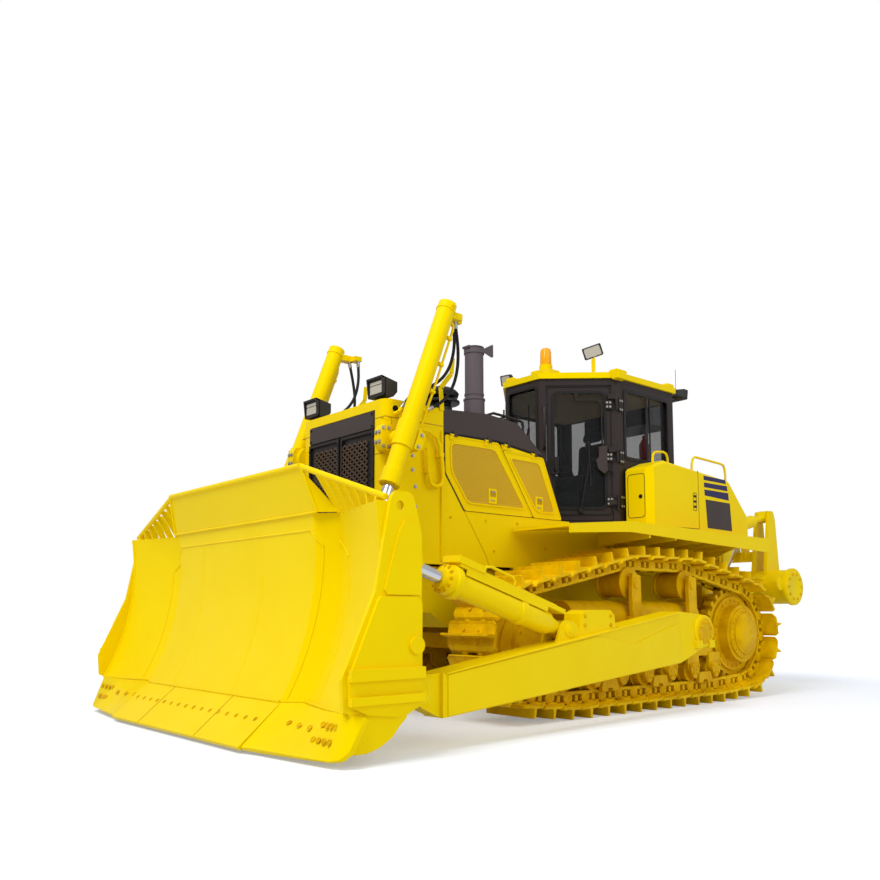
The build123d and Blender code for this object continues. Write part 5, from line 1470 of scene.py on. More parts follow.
# =====================================================================================
# Engine doors and hood
# =====================================================================================
@dataclass
class EngineDoors:
    """Perforated panels, latches, rims and gaps of the engine side doors, and the hood's rails."""

    skin: float = 0.640
    front_outline: Corners = (
        (3.684, 2.438), (3.036, 2.443), (2.590, 1.791), (3.453, 1.791), (3.678, 2.110))
    rear_outline: Corners = (
        (2.979, 2.382), (2.444, 2.374), (2.190, 1.791), (2.576, 1.791))
    front_panel: Corners = (
        (3.620, 2.375), (3.085, 2.380), (2.700, 1.860), (3.420, 1.860), (3.610, 2.120))
    rear_panel: Corners = (
        (2.900, 2.325), (2.500, 2.320), (2.285, 1.850), (2.545, 1.850))
    hole: float = 0.0055
    spacing: float = 0.021

    def panel(self, side: int, body: str, name: str, outline: Outline,
              door: Outline, holes: bool) -> None:
        """Inset panel of one door with its rim.

        Args:
            side: side of the machine.
            body: the door's body.
            name: ending of the pieces' names.
            outline: corners of the inset.
            door: corners of the door.
            holes: whether the inset is perforated.
        """
        skin = flank(self.skin, side)
        inset = Shape()
        skin.plate(inset, rounded(outline, 0.05), 0.0025)
        # the inset's darker yellow is painted shade for its holes and recess
        inset.piece(f"door_inset_{name}", SHADED_DOOR_INSET, body, 0.0)
        rim = Shape()
        skin.band(rim, rounded(outline, 0.055), 0.014, 0.010)
        middle_a, middle_b = self.centre(door)
        shrunk = [(a * 0.985 + middle_a * 0.015, b * 0.985 + middle_b * 0.015) for a, b in door]
        skin.band(rim, rounded(shrunk, 0.02), 0.012, 0.006)
        rim.piece(f"door_rims_{name}", YELLOW, body, 2.0)
        if not holes:
            return
        # each hole is a flat disc of painted shade, standing for the dark inside of the hole
        pattern = Shape().lathe(ORIGIN, UP, [(0.0, self.hole), (0.0008, self.hole)], 6)
        xs, zs = [p[0] for p in outline], [p[1] for p in outline]
        places = []
        z, row = min(zs), 0
        while z < max(zs):
            x = min(xs) + (self.spacing / 2 if row % 2 else 0.0)
            while x < max(xs):
                if inside(outline, x, z, 0.020):
                    places.append((skin.point(x, z, 0.0025), skin.facing, AHEAD))
                x += self.spacing
            z, row = z + self.spacing * 0.866, row + 1
        REPEATER.repeat(f"door_holes_{name}", pattern, places, EDGE_LINE, body, smooth=False)

    @staticmethod
    def centre(outline: Outline) -> tuple[float, float]:
        """Middle of an outline's corners."""
        return (sum(p[0] for p in outline) / len(outline), sum(p[1] for p in outline) / len(outline))

    def latch(self, side: int, body: str, name: str, spot: tuple[float, float]) -> None:
        """Pull latch: plate with painted shade for its recess and handle slot, and a key lock."""
        skin = flank(self.skin, side)
        x, z = spot
        plate, dark, lock = Shape(), Shape(), Shape()
        skin.plate(plate, pane(x - 0.050, z - 0.068, x + 0.050, z + 0.068, 0.014), 0.012)
        # flat dark plate: painted shade where the latch's recess and handle slot would be
        skin.plate(dark, pane(x - 0.034, z - 0.006, x + 0.034, z + 0.052, 0.010), 0.0135)
        skin.strip(dark, [(x - 0.024, z - 0.040), (x + 0.004, z - 0.040)], 0.010, 0.0135)
        lock.lathe(skin.point(x + 0.022, z - 0.036, 0.010), skin.facing,
                   [(0.0, 0.012), (0.006, 0.011), (0.007, 0.004)], 16)
        lock.beam(skin.point(x - 0.028, z + 0.040, 0.016), skin.point(x + 0.028, z + 0.040, 0.016),
                  0.008, 0.010)
        plate.piece(f"latch_plate_{name}", YELLOW, body, 2.0)
        dark.piece(f"latch_recess_{name}", EDGE_LINE, body, 0.0)
        lock.piece(f"latch_lock_{name}", STEEL, body, 0.5)

    def build(self) -> None:
        """Both sides of the engine."""
        for side, hand in SIDES:
            for place, outline, door, holes, spot in (
                    ("front", self.front_panel, self.front_outline, True, (3.118, 1.945)),
                    ("rear", self.rear_panel, self.rear_outline, False, (2.505, 1.925))):
                body = f"engine_door_{place}_{hand}"
                self.panel(side, body, f"{place}_{hand}", outline, door, holes)
                self.latch(side, body, f"{place}_{hand}", spot)
            skin = flank(self.skin, side)
            gaps = Shape()
            for door in (self.front_outline, self.rear_outline):
                skin.band(gaps, rounded(door, 0.02), 0.008, 0.0012)
            skin.strip(gaps, [(3.690, 2.440), (3.684, 2.110), (3.459, 1.787)], 0.018, 0.0014)
            gaps.piece(f"door_gaps_{hand}", SEAM, "root", 0.0)
            rails = Shape()
            rails.pipe([at(x, side * 0.45, z) for x, z in (
                (3.010, 2.660), (3.005, 2.717), (2.980, 2.750), (2.913, 2.775), (2.740, 2.767),
                (2.553, 2.752), (2.520, 2.740), (2.514, 2.715), (2.512, 2.440))], 0.013, 10)
            rails.piece(f"hood_rail_{hand}", BLACK, "root", 0.0)
            strip = Shape()
            skin.strip(strip, [(3.698, 2.452), (3.035, 2.457), (2.445, 2.390)], 0.016, 0.006)
            strip.piece(f"hood_edge_strip_{hand}", RUBBER, "root", 1.0)
            REPEATER.repeat(f"hood_screws_{hand}", button(0.013, 0.008), [
                (skin.point(x, z, 0.0), skin.facing, AHEAD)
                for x, z in ((3.62, 1.72), (3.20, 1.72), (2.80, 1.72), (2.40, 1.72), (2.42, 1.50),
                             (3.10, 1.45))],
                            YELLOW_CAST, "root")


# =====================================================================================
# Cab
# =====================================================================================
@dataclass
class Cab:
    """Gaskets, hinges, handles, wipers, beacon, roof corners and inside of the cab."""

    rear: float = 0.500
    middle: float = 1.470           # where the slanted door faces start
    front: float = 2.050
    half: float = 0.790
    front_half: float = 0.250
    roof: float = 3.390
    light_at: float = 1.680         # the beacon's place ahead
    hinges: tuple[float, ...] = (2.02, 2.48, 3.02)
    # height and distance before the door's face
    nose_rail: Corners = ((2.56, 0.0), (2.58, 0.075), (2.64, 0.090), (2.92, 0.090), (2.98, 0.075),
                          (3.00, 0.0))
    door_glass: tuple[float, float, float, float] = (0.132, 0.6605, 1.955, 3.155)

    def door_side(self, side: int) -> Side:
        """The slanted face that holds a door, measured from its rear post."""
        run = Vector((self.front - self.middle, side * (self.front_half - self.half), 0))
        along = run.normalized()
        return Side(at(self.middle, side * self.half, 0), along, Vector((-along.y, along.x, 0)) * side)

    def door(self, side: int, hand: str) -> None:
        """Gasket, hinges, handle, rail and wiper of one door."""
        face = self.door_side(side)
        body = f"cab_door_{hand}"
        low, high, foot, head = self.door_glass
        gasket = Shape()
        face.band(gasket, pane(low, foot, high, head, 0.06), 0.030, 0.007)
        face.band(gasket, pane(0.070, 1.890, 0.722, 3.218, 0.04), 0.014, 0.004)
        gasket.piece(f"door_gasket_{hand}", RUBBER, body, 1.5)
        metal = Shape()
        for z in self.hinges:
            face.plate(metal, [(0.056, z - 0.055), (0.128, z - 0.040), (0.128, z + 0.040),
                               (0.056, z + 0.055)], 0.020)
        face.plate(metal, pane(0.610, 2.300, 0.690, 2.480, 0.018), 0.030)
        metal.pipe([face.point(0.650, 2.330, 0.028), face.point(0.650, 2.345, 0.058),
                    face.point(0.650, 2.440, 0.058), face.point(0.650, 2.455, 0.028)], 0.010, 8)
        metal.pipe([face.point(a, z, 0.032) for a, z in (
            (0.440, 3.150), (0.438, 3.085), (0.415, 3.062), (0.205, 3.050), (0.172, 3.010), (0.165, 2.440),
            (0.140, 2.350), (0.060, 2.325))], 0.010, 8)
        metal.piece(f"door_hardware_{hand}", BLACK, body, 2.0)
        cover = Shape()
        face.plate(cover, [(0.150, 2.300), (0.215, 2.350), (0.235, 2.440), (0.205, 2.470), (0.205, 2.580),
                           (0.120, 2.590), (0.120, 2.330)], 0.052)
        cover.piece(f"door_cover_{hand}", CHARCOAL, body, 6.0)
        wiper = Shape()
        wiper.lathe(face.point(0.395, 1.925, 0.0), face.facing,
                    [(0.0, 0.026), (0.034, 0.022), (0.036, 0.010)], 14)
        wiper.beam(face.point(0.395, 1.925, 0.036), face.point(0.300, 2.430, 0.026), 0.012, 0.010,
                   face.facing)
        wiper.beam(face.point(0.285, 2.180, 0.018), face.point(0.305, 2.640, 0.018), 0.010, 0.014,
                   face.facing)
        wiper.piece(f"door_wiper_{hand}", BLACK, body, 1.0)
        bolted(f"door_hinge_bolts_{hand}", bolt_head(0.009, 0.007), [
            (face.point(a, z + shift, 0.020), face.facing, face.along)
            for z in self.hinges for shift in (-0.022, 0.022) for a in (0.078, 0.110)], STEEL, body)

    def posts(self, side: int, hand: str) -> None:
        """Fixed fittings of one side: hinge posts, window gaskets, roof corners and seams."""
        face, wall = self.door_side(side), flank(self.half, side)
        black = Shape()
        for z in self.hinges:
            wall.plate(black, [(self.middle - 0.075, z - 0.070), (self.middle - 0.004, z - 0.070),
                               (self.middle - 0.004, z + 0.070), (self.middle - 0.075, z + 0.070)], 0.014)
            black.rod(at(1.505, side * 0.806, z - 0.060), at(1.505, side * 0.806, z + 0.060), 0.015, 12)
        wall.band(black, pane(0.600, 2.480, 1.360, 3.190, 0.05), 0.034, 0.008)
        wall.strip(black, [(0.985, 2.490), (0.985, 3.180)], 0.032, 0.006)
        wall.strip(black, [(0.935, 2.490), (0.935, 3.180)], 0.012, 0.010)
        black.box((0.995, side * (self.half + 0.004), 2.74), (1.030, side * (self.half + 0.016), 2.86))
        black.piece(f"cab_gaskets_{hand}", BLACK, "root", 1.5)
        bolted(f"cab_post_bolts_{hand}", bolt_head(0.009, 0.007), [
            (wall.point(self.middle - a, z + shift, 0.014), wall.facing, AHEAD)
            for z in self.hinges for shift in (-0.045, 0.045) for a in (0.056, 0.024)], STEEL, "root")
        roof = Shape()
        roof.box((self.middle - 0.13, side * 0.700, self.roof - 0.030),
                 (self.middle + 0.02, side * 0.805, self.roof + 0.012))
        roof.box((0.485, side * 0.690, self.roof - 0.035), (0.610, side * 0.805, self.roof + 0.010))
        roof.box((self.front - 0.10, side * 0.130, self.roof - 0.028),
                 (self.front + 0.012, side * 0.235, self.roof + 0.010))
        if side == LEFT:
            roof.box((self.middle - 0.075, 0.775, 3.280), (self.middle + 0.070, 0.862, 3.372))
        roof.piece(f"roof_corners_{hand}", YELLOW, "root", 8.0)
        seam = Shape()
        wall.strip(seam, [(self.rear, 3.262), (self.middle, 3.262)], 0.006, 0.0015)
        wall.strip(seam, [(self.middle - 0.085, 1.82), (self.middle - 0.085, 3.26)], 0.005, 0.0015)
        seam.piece(f"cab_seams_{hand}", BLACK, "root", 0.0)

    def nose(self) -> None:
        """Windscreen gasket, wiper and the loop rail before it."""
        face = facing_ahead(self.front)
        black = Shape()
        face.band(black, pane(-0.205, 2.330, 0.205, 3.230, 0.05), 0.028, 0.006)
        black.lathe(face.point(0.0, 2.27, 0.0), face.facing,
                    [(0.0, 0.026), (0.030, 0.022), (0.032, 0.010)], 14)
        black.beam(face.point(0.0, 2.27, 0.030), face.point(0.10, 2.80, 0.022), 0.012, 0.010, face.facing)
        black.beam(face.point(0.11, 2.52, 0.016), face.point(0.10, 3.06, 0.016), 0.010, 0.014, face.facing)
        for side in (LEFT, RIGHT):
            slant = self.door_side(side)
            black.pipe([slant.point(0.755, z, proud) for z, proud in self.nose_rail], 0.012, 8)
        black.piece("windscreen_fittings", BLACK, "root", 1.0)

    def beacon(self) -> None:
        """The beacon with its socket, and the aerial."""
        socket = Shape()
        socket.lathe(at(self.light_at, 0, 3.388), UP, [
            (0.0, 0.098), (0.012, 0.098), (0.018, 0.062), (0.070, 0.060), (0.078, 0.071), (0.176, 0.071),
            (0.182, 0.060)], 28)
        socket.hull_between([
            [at(self.light_at + a * x, b * y, z) for a, b in ((-1, -1), (1, -1), (1, 1), (-1, 1))]
            for x, y, z in ((0.105, 0.150, 3.388), (0.100, 0.145, 3.402), (0.088, 0.115, 3.500))])
        socket.piece("beacon_socket", YELLOW, "root", 1.5)
        dome = Shape()
        dome.lathe(at(self.light_at, 0, 3.566), UP, [
            (0.0, 0.058), (0.008, 0.062), (0.145, 0.059), (0.174, 0.052), (0.188, 0.036), (0.193, 0.012)], 28)
        beacon = dome.piece("beacon_dome", AMBER, "root", 0.0)
        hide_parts("beacon")
        mast = Shape()
        mast.rod(at(0.075, 0.55, 3.395), at(0.075, 0.55, 3.440), 0.012, 10)
        mast.rod(at(0.075, 0.55, 3.440), at(0.075, 0.55, 3.700), 0.003, 6)
        mast.piece("aerial", BLACK, "root", 0.0)

    def cooler(self) -> None:
        """Grey side cheeks and yellow lid of the air conditioner behind the cab."""
        lid, cheeks = Shape(), Shape()
        lid.box((0.030, -0.460, 3.240), (0.500, 0.460, 3.262))
        lid.piece("cooler_lid", YELLOW, "root", 5.0)
        for side in (LEFT, RIGHT):
            cheeks.box((0.045, side * 0.446, 3.026), (0.470, side * 0.456, 3.236))
            for z in (3.07, 3.10, 3.13, 3.16, 3.19):
                cheeks.box((0.100, side * 0.452, z), (0.420, side * 0.463, z + 0.012))
        cheeks.piece("cooler_cheeks", GREY_SHEET, "root", 2.0)

    def inside_parts(self) -> None:
        """Headliner, floor, levers, screen, extinguisher and lining seen through the glass."""
        lining = Shape()
        lining.prism([(REAR + x, y) for x, y in ((0.54, -0.74), (1.45, -0.74), (1.98, -0.23), (1.98, 0.23),
                                                 (1.45, 0.74), (0.54, 0.74))], View.TOP, 3.195, 3.222)
        lining.piece("cab_headliner", HEADLINER, "root", 6.0)
        mat = Shape()
        mat.prism([(REAR + x, y) for x, y in ((0.56, -0.73), (1.45, -0.73), (1.97, -0.22), (1.97, 0.22),
                                              (1.45, 0.73), (0.56, 0.73))], View.TOP, 1.802, 1.822)
        mat.box((1.70, -0.16, 1.822), (1.93, 0.16, 1.90))
        mat.piece("cab_floor_mat", RUBBER, "root", 6.0)
        black = Shape()
        for y, lean in ((0.34, 0.03), (-0.34, -0.03)):
            black.rod(at(1.40, y, 2.450), at(1.43, y + lean, 2.610), 0.014, 10)
            black.lathe(at(1.43, y + lean, 2.600), Vector((0.15, 0, 1)), [
                (0.0, 0.020), (0.02, 0.030), (0.06, 0.032), (0.10, 0.026), (0.115, 0.010)], 14)
        black.box((1.790, -0.140, 2.300), (1.850, 0.140, 2.480))
        for y in (-0.09, 0.09):
            black.beam(at(1.72, y, 1.84), at(1.80, y, 2.02), 0.09, 0.014, Vector((1, 0, 0.4)))
        black.box((0.535, -0.72, 1.82), (0.560, 0.72, 2.46))
        black.piece("cab_controls", PLASTIC, "root", 4.0)
        red = Shape()
        red.lathe(at(0.610, 0.480, 2.520), UP, [
            (0.0, 0.048), (0.01, 0.055), (0.24, 0.055), (0.28, 0.034), (0.30, 0.018), (0.34, 0.018)], 20)
        red.piece("fire_extinguisher", RED, "root", 0.0)

    def build(self) -> None:
        """The whole cab."""
        for side, hand in SIDES:
            self.door(side, hand)
            self.posts(side, hand)
        self.nose()
        self.beacon()
        self.cooler()
        self.inside_parts()


@dataclass(frozen=True)
class WorkLamp:
    """One lamp: where the middle of its glass is, which way it faces, its half sizes and its foot."""

    centre: Point
    facing: Point
    roll: float
    half: tuple[float, float]
    depth: float
    foot: Point

    def frame(self) -> tuple[Vector, Vector, Vector, Vector]:
        """Middle of the glass, the way it faces, and its width and height directions."""
        facing = Vector(self.facing).normalized()
        flat = UP.cross(facing).normalized()
        up = facing.cross(flat)
        u = flat * math.cos(self.roll) + up * math.sin(self.roll)
        return at(*self.centre), facing, u, facing.cross(u)

    def ring(self, share: float, ahead: float) -> list[Vector]:
        """Rounded outline of the case at a distance ahead of the glass."""
        centre, facing, u, v = self.frame()
        wide, tall = self.half[0] * share, self.half[1] * share
        return [centre + facing * ahead + u * a + v * b for a, b in pane(-wide, -tall, wide, tall, 0.014)]


@dataclass
class WorkLamps:
    """Lamps on the guard, the cab's roof corners and its rear, which stand for the plain boxes."""

    roof: tuple[WorkLamp, ...] = (
        WorkLamp((1.600, 0.583, 3.602), (0.74, 0.64, -0.12), 0.30, (0.100, 0.062), 0.075,
                 (1.600, 0.590, 3.386)),
        WorkLamp((1.707, -0.589, 3.519), (0.98, -0.10, -0.25), -0.10, (0.085, 0.060), 0.075,
                 (1.640, -0.590, 3.386)),
    )
    rear: tuple[WorkLamp, ...] = tuple(
        lamp for y in (1, -1) for lamp in (
            WorkLamp((0.020, y * 0.660, 2.430), (-1.0, 0.0, -0.10), 0.0, (0.096, 0.054), 0.080,
                     (0.062, y * 0.660, 2.356)),
            WorkLamp((0.062, y * 0.560, 3.380), (-1.0, 0.0, -0.16), 0.0, (0.136, 0.058), 0.118,
                     (0.450, y * 0.560, 3.340)),
        ))
    guard_at: float = 0.500
    guard_half: float = 0.110
    rim: float = 0.014

    def lamp(self, lamp: WorkLamp, case: Shape, glass: Shape, bracket: Shape) -> None:
        """One lamp with its case, glass and bracket."""
        centre, facing, _, v = lamp.frame()
        case.hull_between([lamp.ring(share, ahead) for share, ahead in (
            (0.62, -lamp.depth), (0.96, -lamp.depth * 0.45), (1.0, -0.010), (1.0, 0.004), (0.84, 0.004),
            (0.84, -0.006))])
        glass.hull_between([lamp.ring(0.83, -0.008), lamp.ring(0.83, -0.001)])
        back = centre - facing * lamp.depth * 0.6
        foot, tall = at(*lamp.foot), lamp.half[1]
        knee = Vector((foot.x, foot.y, max(foot.z + 0.03, back.z - tall - 0.02)))
        bracket.beam(foot, knee, 0.046, 0.010, AHEAD)
        bracket.beam(knee, back - v * tall * 0.9, 0.046, 0.010, Vector((1, 0, 0.2)))

    def guard_lamp(self, y: float, case: Shape, glass: Shape, bezel: Shape, bracket: Shape) -> None:
        """One hooded lamp on the radiator guard."""
        low, high = y - self.guard_half, y + self.guard_half
        case.slab(((4.312, 2.848), (4.312, 2.690), (4.220, 2.690), (4.180, 2.735), (4.180, 2.820)), low, high)
        for outline, one, two in (
                (((4.300, 2.8455), (4.345, 2.855), (4.342, 2.836), (4.300, 2.832)), low, high),
                (((4.300, 2.690), (4.325, 2.690), (4.328, 2.704), (4.300, 2.704)), low, high),
                (((4.300, 2.8455), (4.345, 2.855), (4.325, 2.690), (4.300, 2.690)), low, low + self.rim),
                (((4.300, 2.8455), (4.345, 2.855), (4.325, 2.690), (4.300, 2.690)), high - self.rim, high)):
            case.slab(outline, one, two)
        front = facing_ahead(4.312)
        front.plate(glass, pane(y - 0.084, 2.716, y + 0.084, 2.822, 0.012), 0.010)
        front.band(bezel, pane(y - 0.090, 2.710, y + 0.090, 2.828, 0.014), 0.014, 0.014)
        bezel.box((4.320, y - 0.084, 2.788), (4.325, y + 0.084, 2.792))
        bracket.box((4.250, y - 0.040, 2.658), (4.290, y + 0.040, 2.692))

    def build(self) -> None:
        """All lamps."""
        case, glass, bezel, black, yellow = Shape(), Shape(), Shape(), Shape(), Shape()
        for lamp in self.roof:
            self.lamp(lamp, case, glass, yellow)
        for lamp in self.rear:
            self.lamp(lamp, case, glass, black)
        for y in (-self.guard_at, self.guard_at):
            self.guard_lamp(y, case, glass, bezel, black)
        cases = case.piece("lamp_cases", PLASTIC, "root", 2.0)
        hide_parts("work_lamps")
        glass.piece("lamp_glasses", CLEAR_LENS, "root", 0.0)
        bezel.piece("lamp_bezels", BLACK, "root", 1.0)
        black.piece("lamp_brackets", BLACK, "root", 1.0)
        yellow.piece("roof_lamp_brackets", YELLOW, "root", 1.0)


# =====================================================================================
# Side tanks and fenders
# =====================================================================================
@dataclass
class SideTanks:
    """Stripes, doors, rails and ribs of the two side tanks and the fenders under them."""

    face: float = 1.120
    stripes: tuple[Corners, ...] = (
        ((0.456, 2.353), (0.035, 2.346), (0.022, 2.303), (0.454, 2.306)),
        ((0.452, 2.280), (0.004, 2.280), (-0.004, 2.226), (0.450, 2.230)),
        ((0.448, 2.205), (-0.018, 2.205), (-0.028, 2.124), (0.442, 2.141)),
    )
    plate: Corners = ((0.431, 2.099), (-0.045, 2.094), (-0.075, 1.789), (0.403, 1.795))
    rib: Corners = ((0.72, 1.55), (1.34, 1.600), (1.34, 1.690), (0.72, 1.700))      # across and up

    def build(self) -> None:
        """Both sides."""
        for side, hand in SIDES:
            skin = flank(self.face, side)
            navy, dark, seams, rails, latch = Shape(), Shape(), Shape(), Shape(), Shape()
            for stripe in self.stripes:
                skin.plate(navy, stripe, 0.0010)
            navy.piece(f"tank_stripes_{hand}", NAVY, "root", 0.0)
            skin.plate(dark, self.plate, 0.0012)
            dark.piece(f"tank_blank_plate_{hand}", CHARCOAL, "root", 0.0)
            skin.strip(seams, [(0.560, 2.395), (0.560, 1.775), (1.385, 1.760)], 0.006, 0.0012)
            front = facing_ahead(1.400)
            front.band(seams, pane(side * 0.845, 1.850, side * 1.050, 2.290, 0.04), 0.007, 0.0012)
            skin.band(seams, pane(0.600, 1.965, 0.660, 2.150, 0.012), 0.006, 0.0015)
            seams.piece(f"tank_seams_{hand}", SEAM, "root", 0.0)
            for a, z in ((0.63, 2.115), (0.63, 2.060), (0.63, 2.005)):
                latch.box((a - 0.020, side * self.face, z - 0.012),
                          (a + 0.020, side * (self.face + 0.006), z + 0.012))
            latch.lathe(at(1.400, side * 1.000, 2.060), AHEAD,
                        [(0.0, 0.022), (0.008, 0.020), (0.009, 0.006)], 16)
            latch.piece(f"tank_latches_{hand}", BLACK, "root", 1.0)
            rails.pipe([at(x, side * 0.950, z) for x, z in (
                (1.122, 2.425), (1.112, 2.515), (1.085, 2.550), (1.036, 2.562), (0.925, 2.574),
                (0.880, 2.560), (0.858, 2.520), (0.846, 2.415))], 0.013, 10)
            rails.pipe([at(x, side * 1.000, z) for x, z in (
                (0.492, 2.385), (0.484, 2.495), (0.462, 2.550), (0.419, 2.574), (-0.071, 2.555),
                (-0.135, 2.545), (-0.162, 2.500), (-0.170, 2.440), (-0.172, 2.180))], 0.013, 10)
            for x, top in ((0.492, 2.395), (1.122, 2.436), (0.846, 2.425)):
                rails.lathe(at(x, side * (1.000 if x < 0.8 else 0.950), top - 0.006), UP,
                            [(0.0, 0.030), (0.010, 0.028), (0.012, 0.014)], 14)
            for k in range(5):
                x = 0.05 + 0.42 * k
                rails.hull_between([[at(face, side * y, z) for y, z in self.rib]
                                    for face in (x - 0.010, x + 0.010)])
            rails.piece(f"tank_rails_{hand}", YELLOW, "root", 1.0)
            cap = Shape()
            cap.lathe(at(0.68, side * 0.93, 2.400), UP, [
                (0.0, 0.055), (0.030, 0.055), (0.036, 0.046), (0.050, 0.044), (0.052, 0.020)], 24)
            cap.piece(f"tank_cap_{hand}", STEEL if side == RIGHT else BLACK, "root", 1.0)


# =====================================================================================
# Rear and small parts
# =====================================================================================
@dataclass
class TiltCylinder:
    """The blade's tilt cylinder with its guard, brackets and bolts, from the push arm to the blade's back."""

    foot: Point = (3.370, 1.660, 0.765)
    eye: Point = (4.950, 1.700, 1.235)
    # share of the run and radius along the barrel
    barrel: Corners = (
        (0.030, 0.055), (0.075, 0.060), (0.110, 0.080), (0.120, 0.090), (0.290, 0.090), (0.293, 0.099),
        (0.330, 0.099), (0.334, 0.090), (0.715, 0.090), (0.720, 0.112), (0.724, 0.120), (0.752, 0.120),
        (0.756, 0.108), (0.786, 0.106), (0.792, 0.078), (0.806, 0.072), (0.808, 0.046))

    def brackets(self, metal: Shape) -> None:
        """Lugs on the arm and on the blade's back, and the box behind the foot."""
        for near, far in ((-0.088, -0.060), (0.060, 0.088)):
            y = self.foot[1]
            metal.slab((
                (3.200, 0.690), (3.270, 0.800), (3.315, 0.835), (3.415, 0.840), (3.455, 0.800),
                (3.520, 0.655)), y + near, y + far)
            y = self.eye[1]
            metal.slab((
                (5.060, 1.560), (4.960, 1.560), (4.880, 1.330), (4.862, 1.225), (4.900, 1.150),
                (5.090, 1.080)), y + near, y + far)
        metal.slab((
            (2.780, 0.740), (2.800, 0.880), (2.850, 0.922), (3.140, 0.922), (3.215, 0.895), (3.235, 0.680)),
            1.565, 1.742)

    def spot(self, share: float, rise: float) -> Vector:
        """Point at a share of the way from the foot to the eye, and a distance above that line."""
        foot, eye = at(*self.foot), at(*self.eye)
        run, length = (eye - foot).normalized(), (eye - foot).length
        return foot + run * length * share + Vector((-run.z, 0, run.x)) * rise

    def build(self) -> None:
        """The whole cylinder, which stands for the plain one."""
        foot, eye = at(*self.foot), at(*self.eye)
        run, length = (eye - foot).normalized(), (eye - foot).length
        up = Vector((-run.z, 0, run.x))
        metal = Shape()
        metal.lathe(foot, run, [(share * length, radius) for share, radius in self.barrel], 40)
        metal.lathe(eye - run * 0.085, run, [(0.0, 0.050), (0.006, 0.062), (0.050, 0.064)], 28)
        for centre, radius in ((foot, 0.072), (eye, 0.074)):
            metal.rod(centre - Vector((0, 0.056, 0)), centre + Vector((0, 0.056, 0)), radius, 32)
            for side in (-1, 1):
                metal.lathe(centre + Vector((0, side * 0.080, 0)), outward(side), [
                    (0.0, 0.050), (0.018, 0.048), (0.022, 0.026), (0.030, 0.024)], 24)
        metal.beam(self.spot(0.04, 0.128), self.spot(0.745, 0.128), 0.150, 0.036, up)
        metal.beam(self.spot(0.09, 0.152), self.spot(0.60, 0.152), 0.100, 0.014, up)
        metal.beam(self.spot(0.60, 0.158), self.spot(0.765, 0.158), 0.172, 0.050, up)
        for side in (-1, 1):
            metal.beam(self.spot(0.16, 0.100) + Vector((0, side * 0.070, 0)),
                       self.spot(0.70, 0.100) + Vector((0, side * 0.070, 0)), 0.010, 0.060, up)
        pipe = [(0.40, 0.150), (0.40, 0.190), (0.42, 0.208), (0.56, 0.208), (0.59, 0.190), (0.60, 0.165)]
        metal.pipe([self.spot(share, rise) + Vector((0, 0.060, 0)) for share, rise in pipe], 0.011, 8)
        self.brackets(metal)
        made = metal.piece("tilt_cylinder_body", YELLOW, "blade", 2.0)
        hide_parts("tilt_cylinder")
        rod = Shape().rod(self.spot(0.800, 0.0), self.spot(0.955, 0.0), 0.045, 32)
        rod.piece("tilt_rod_chrome", CHROME, "blade", 0.0)
        bolts = ring_of(self.spot(0.786, 0.0), run, 0.091, 12)
        bolts += [(self.spot(share, rise), up, run) for share, rise in (
            (0.63, 0.183), (0.68, 0.183), (0.735, 0.183), (0.06, 0.146), (0.075, 0.146))]
        bolts += [(at(x, 1.742, z), ACROSS, AHEAD) for x in (2.85, 3.17) for z in (0.80, 0.875)]
        bolted("tilt_cylinder_bolts", bolt_head(0.013, 0.012), bolts, YELLOW_CAST, "blade")


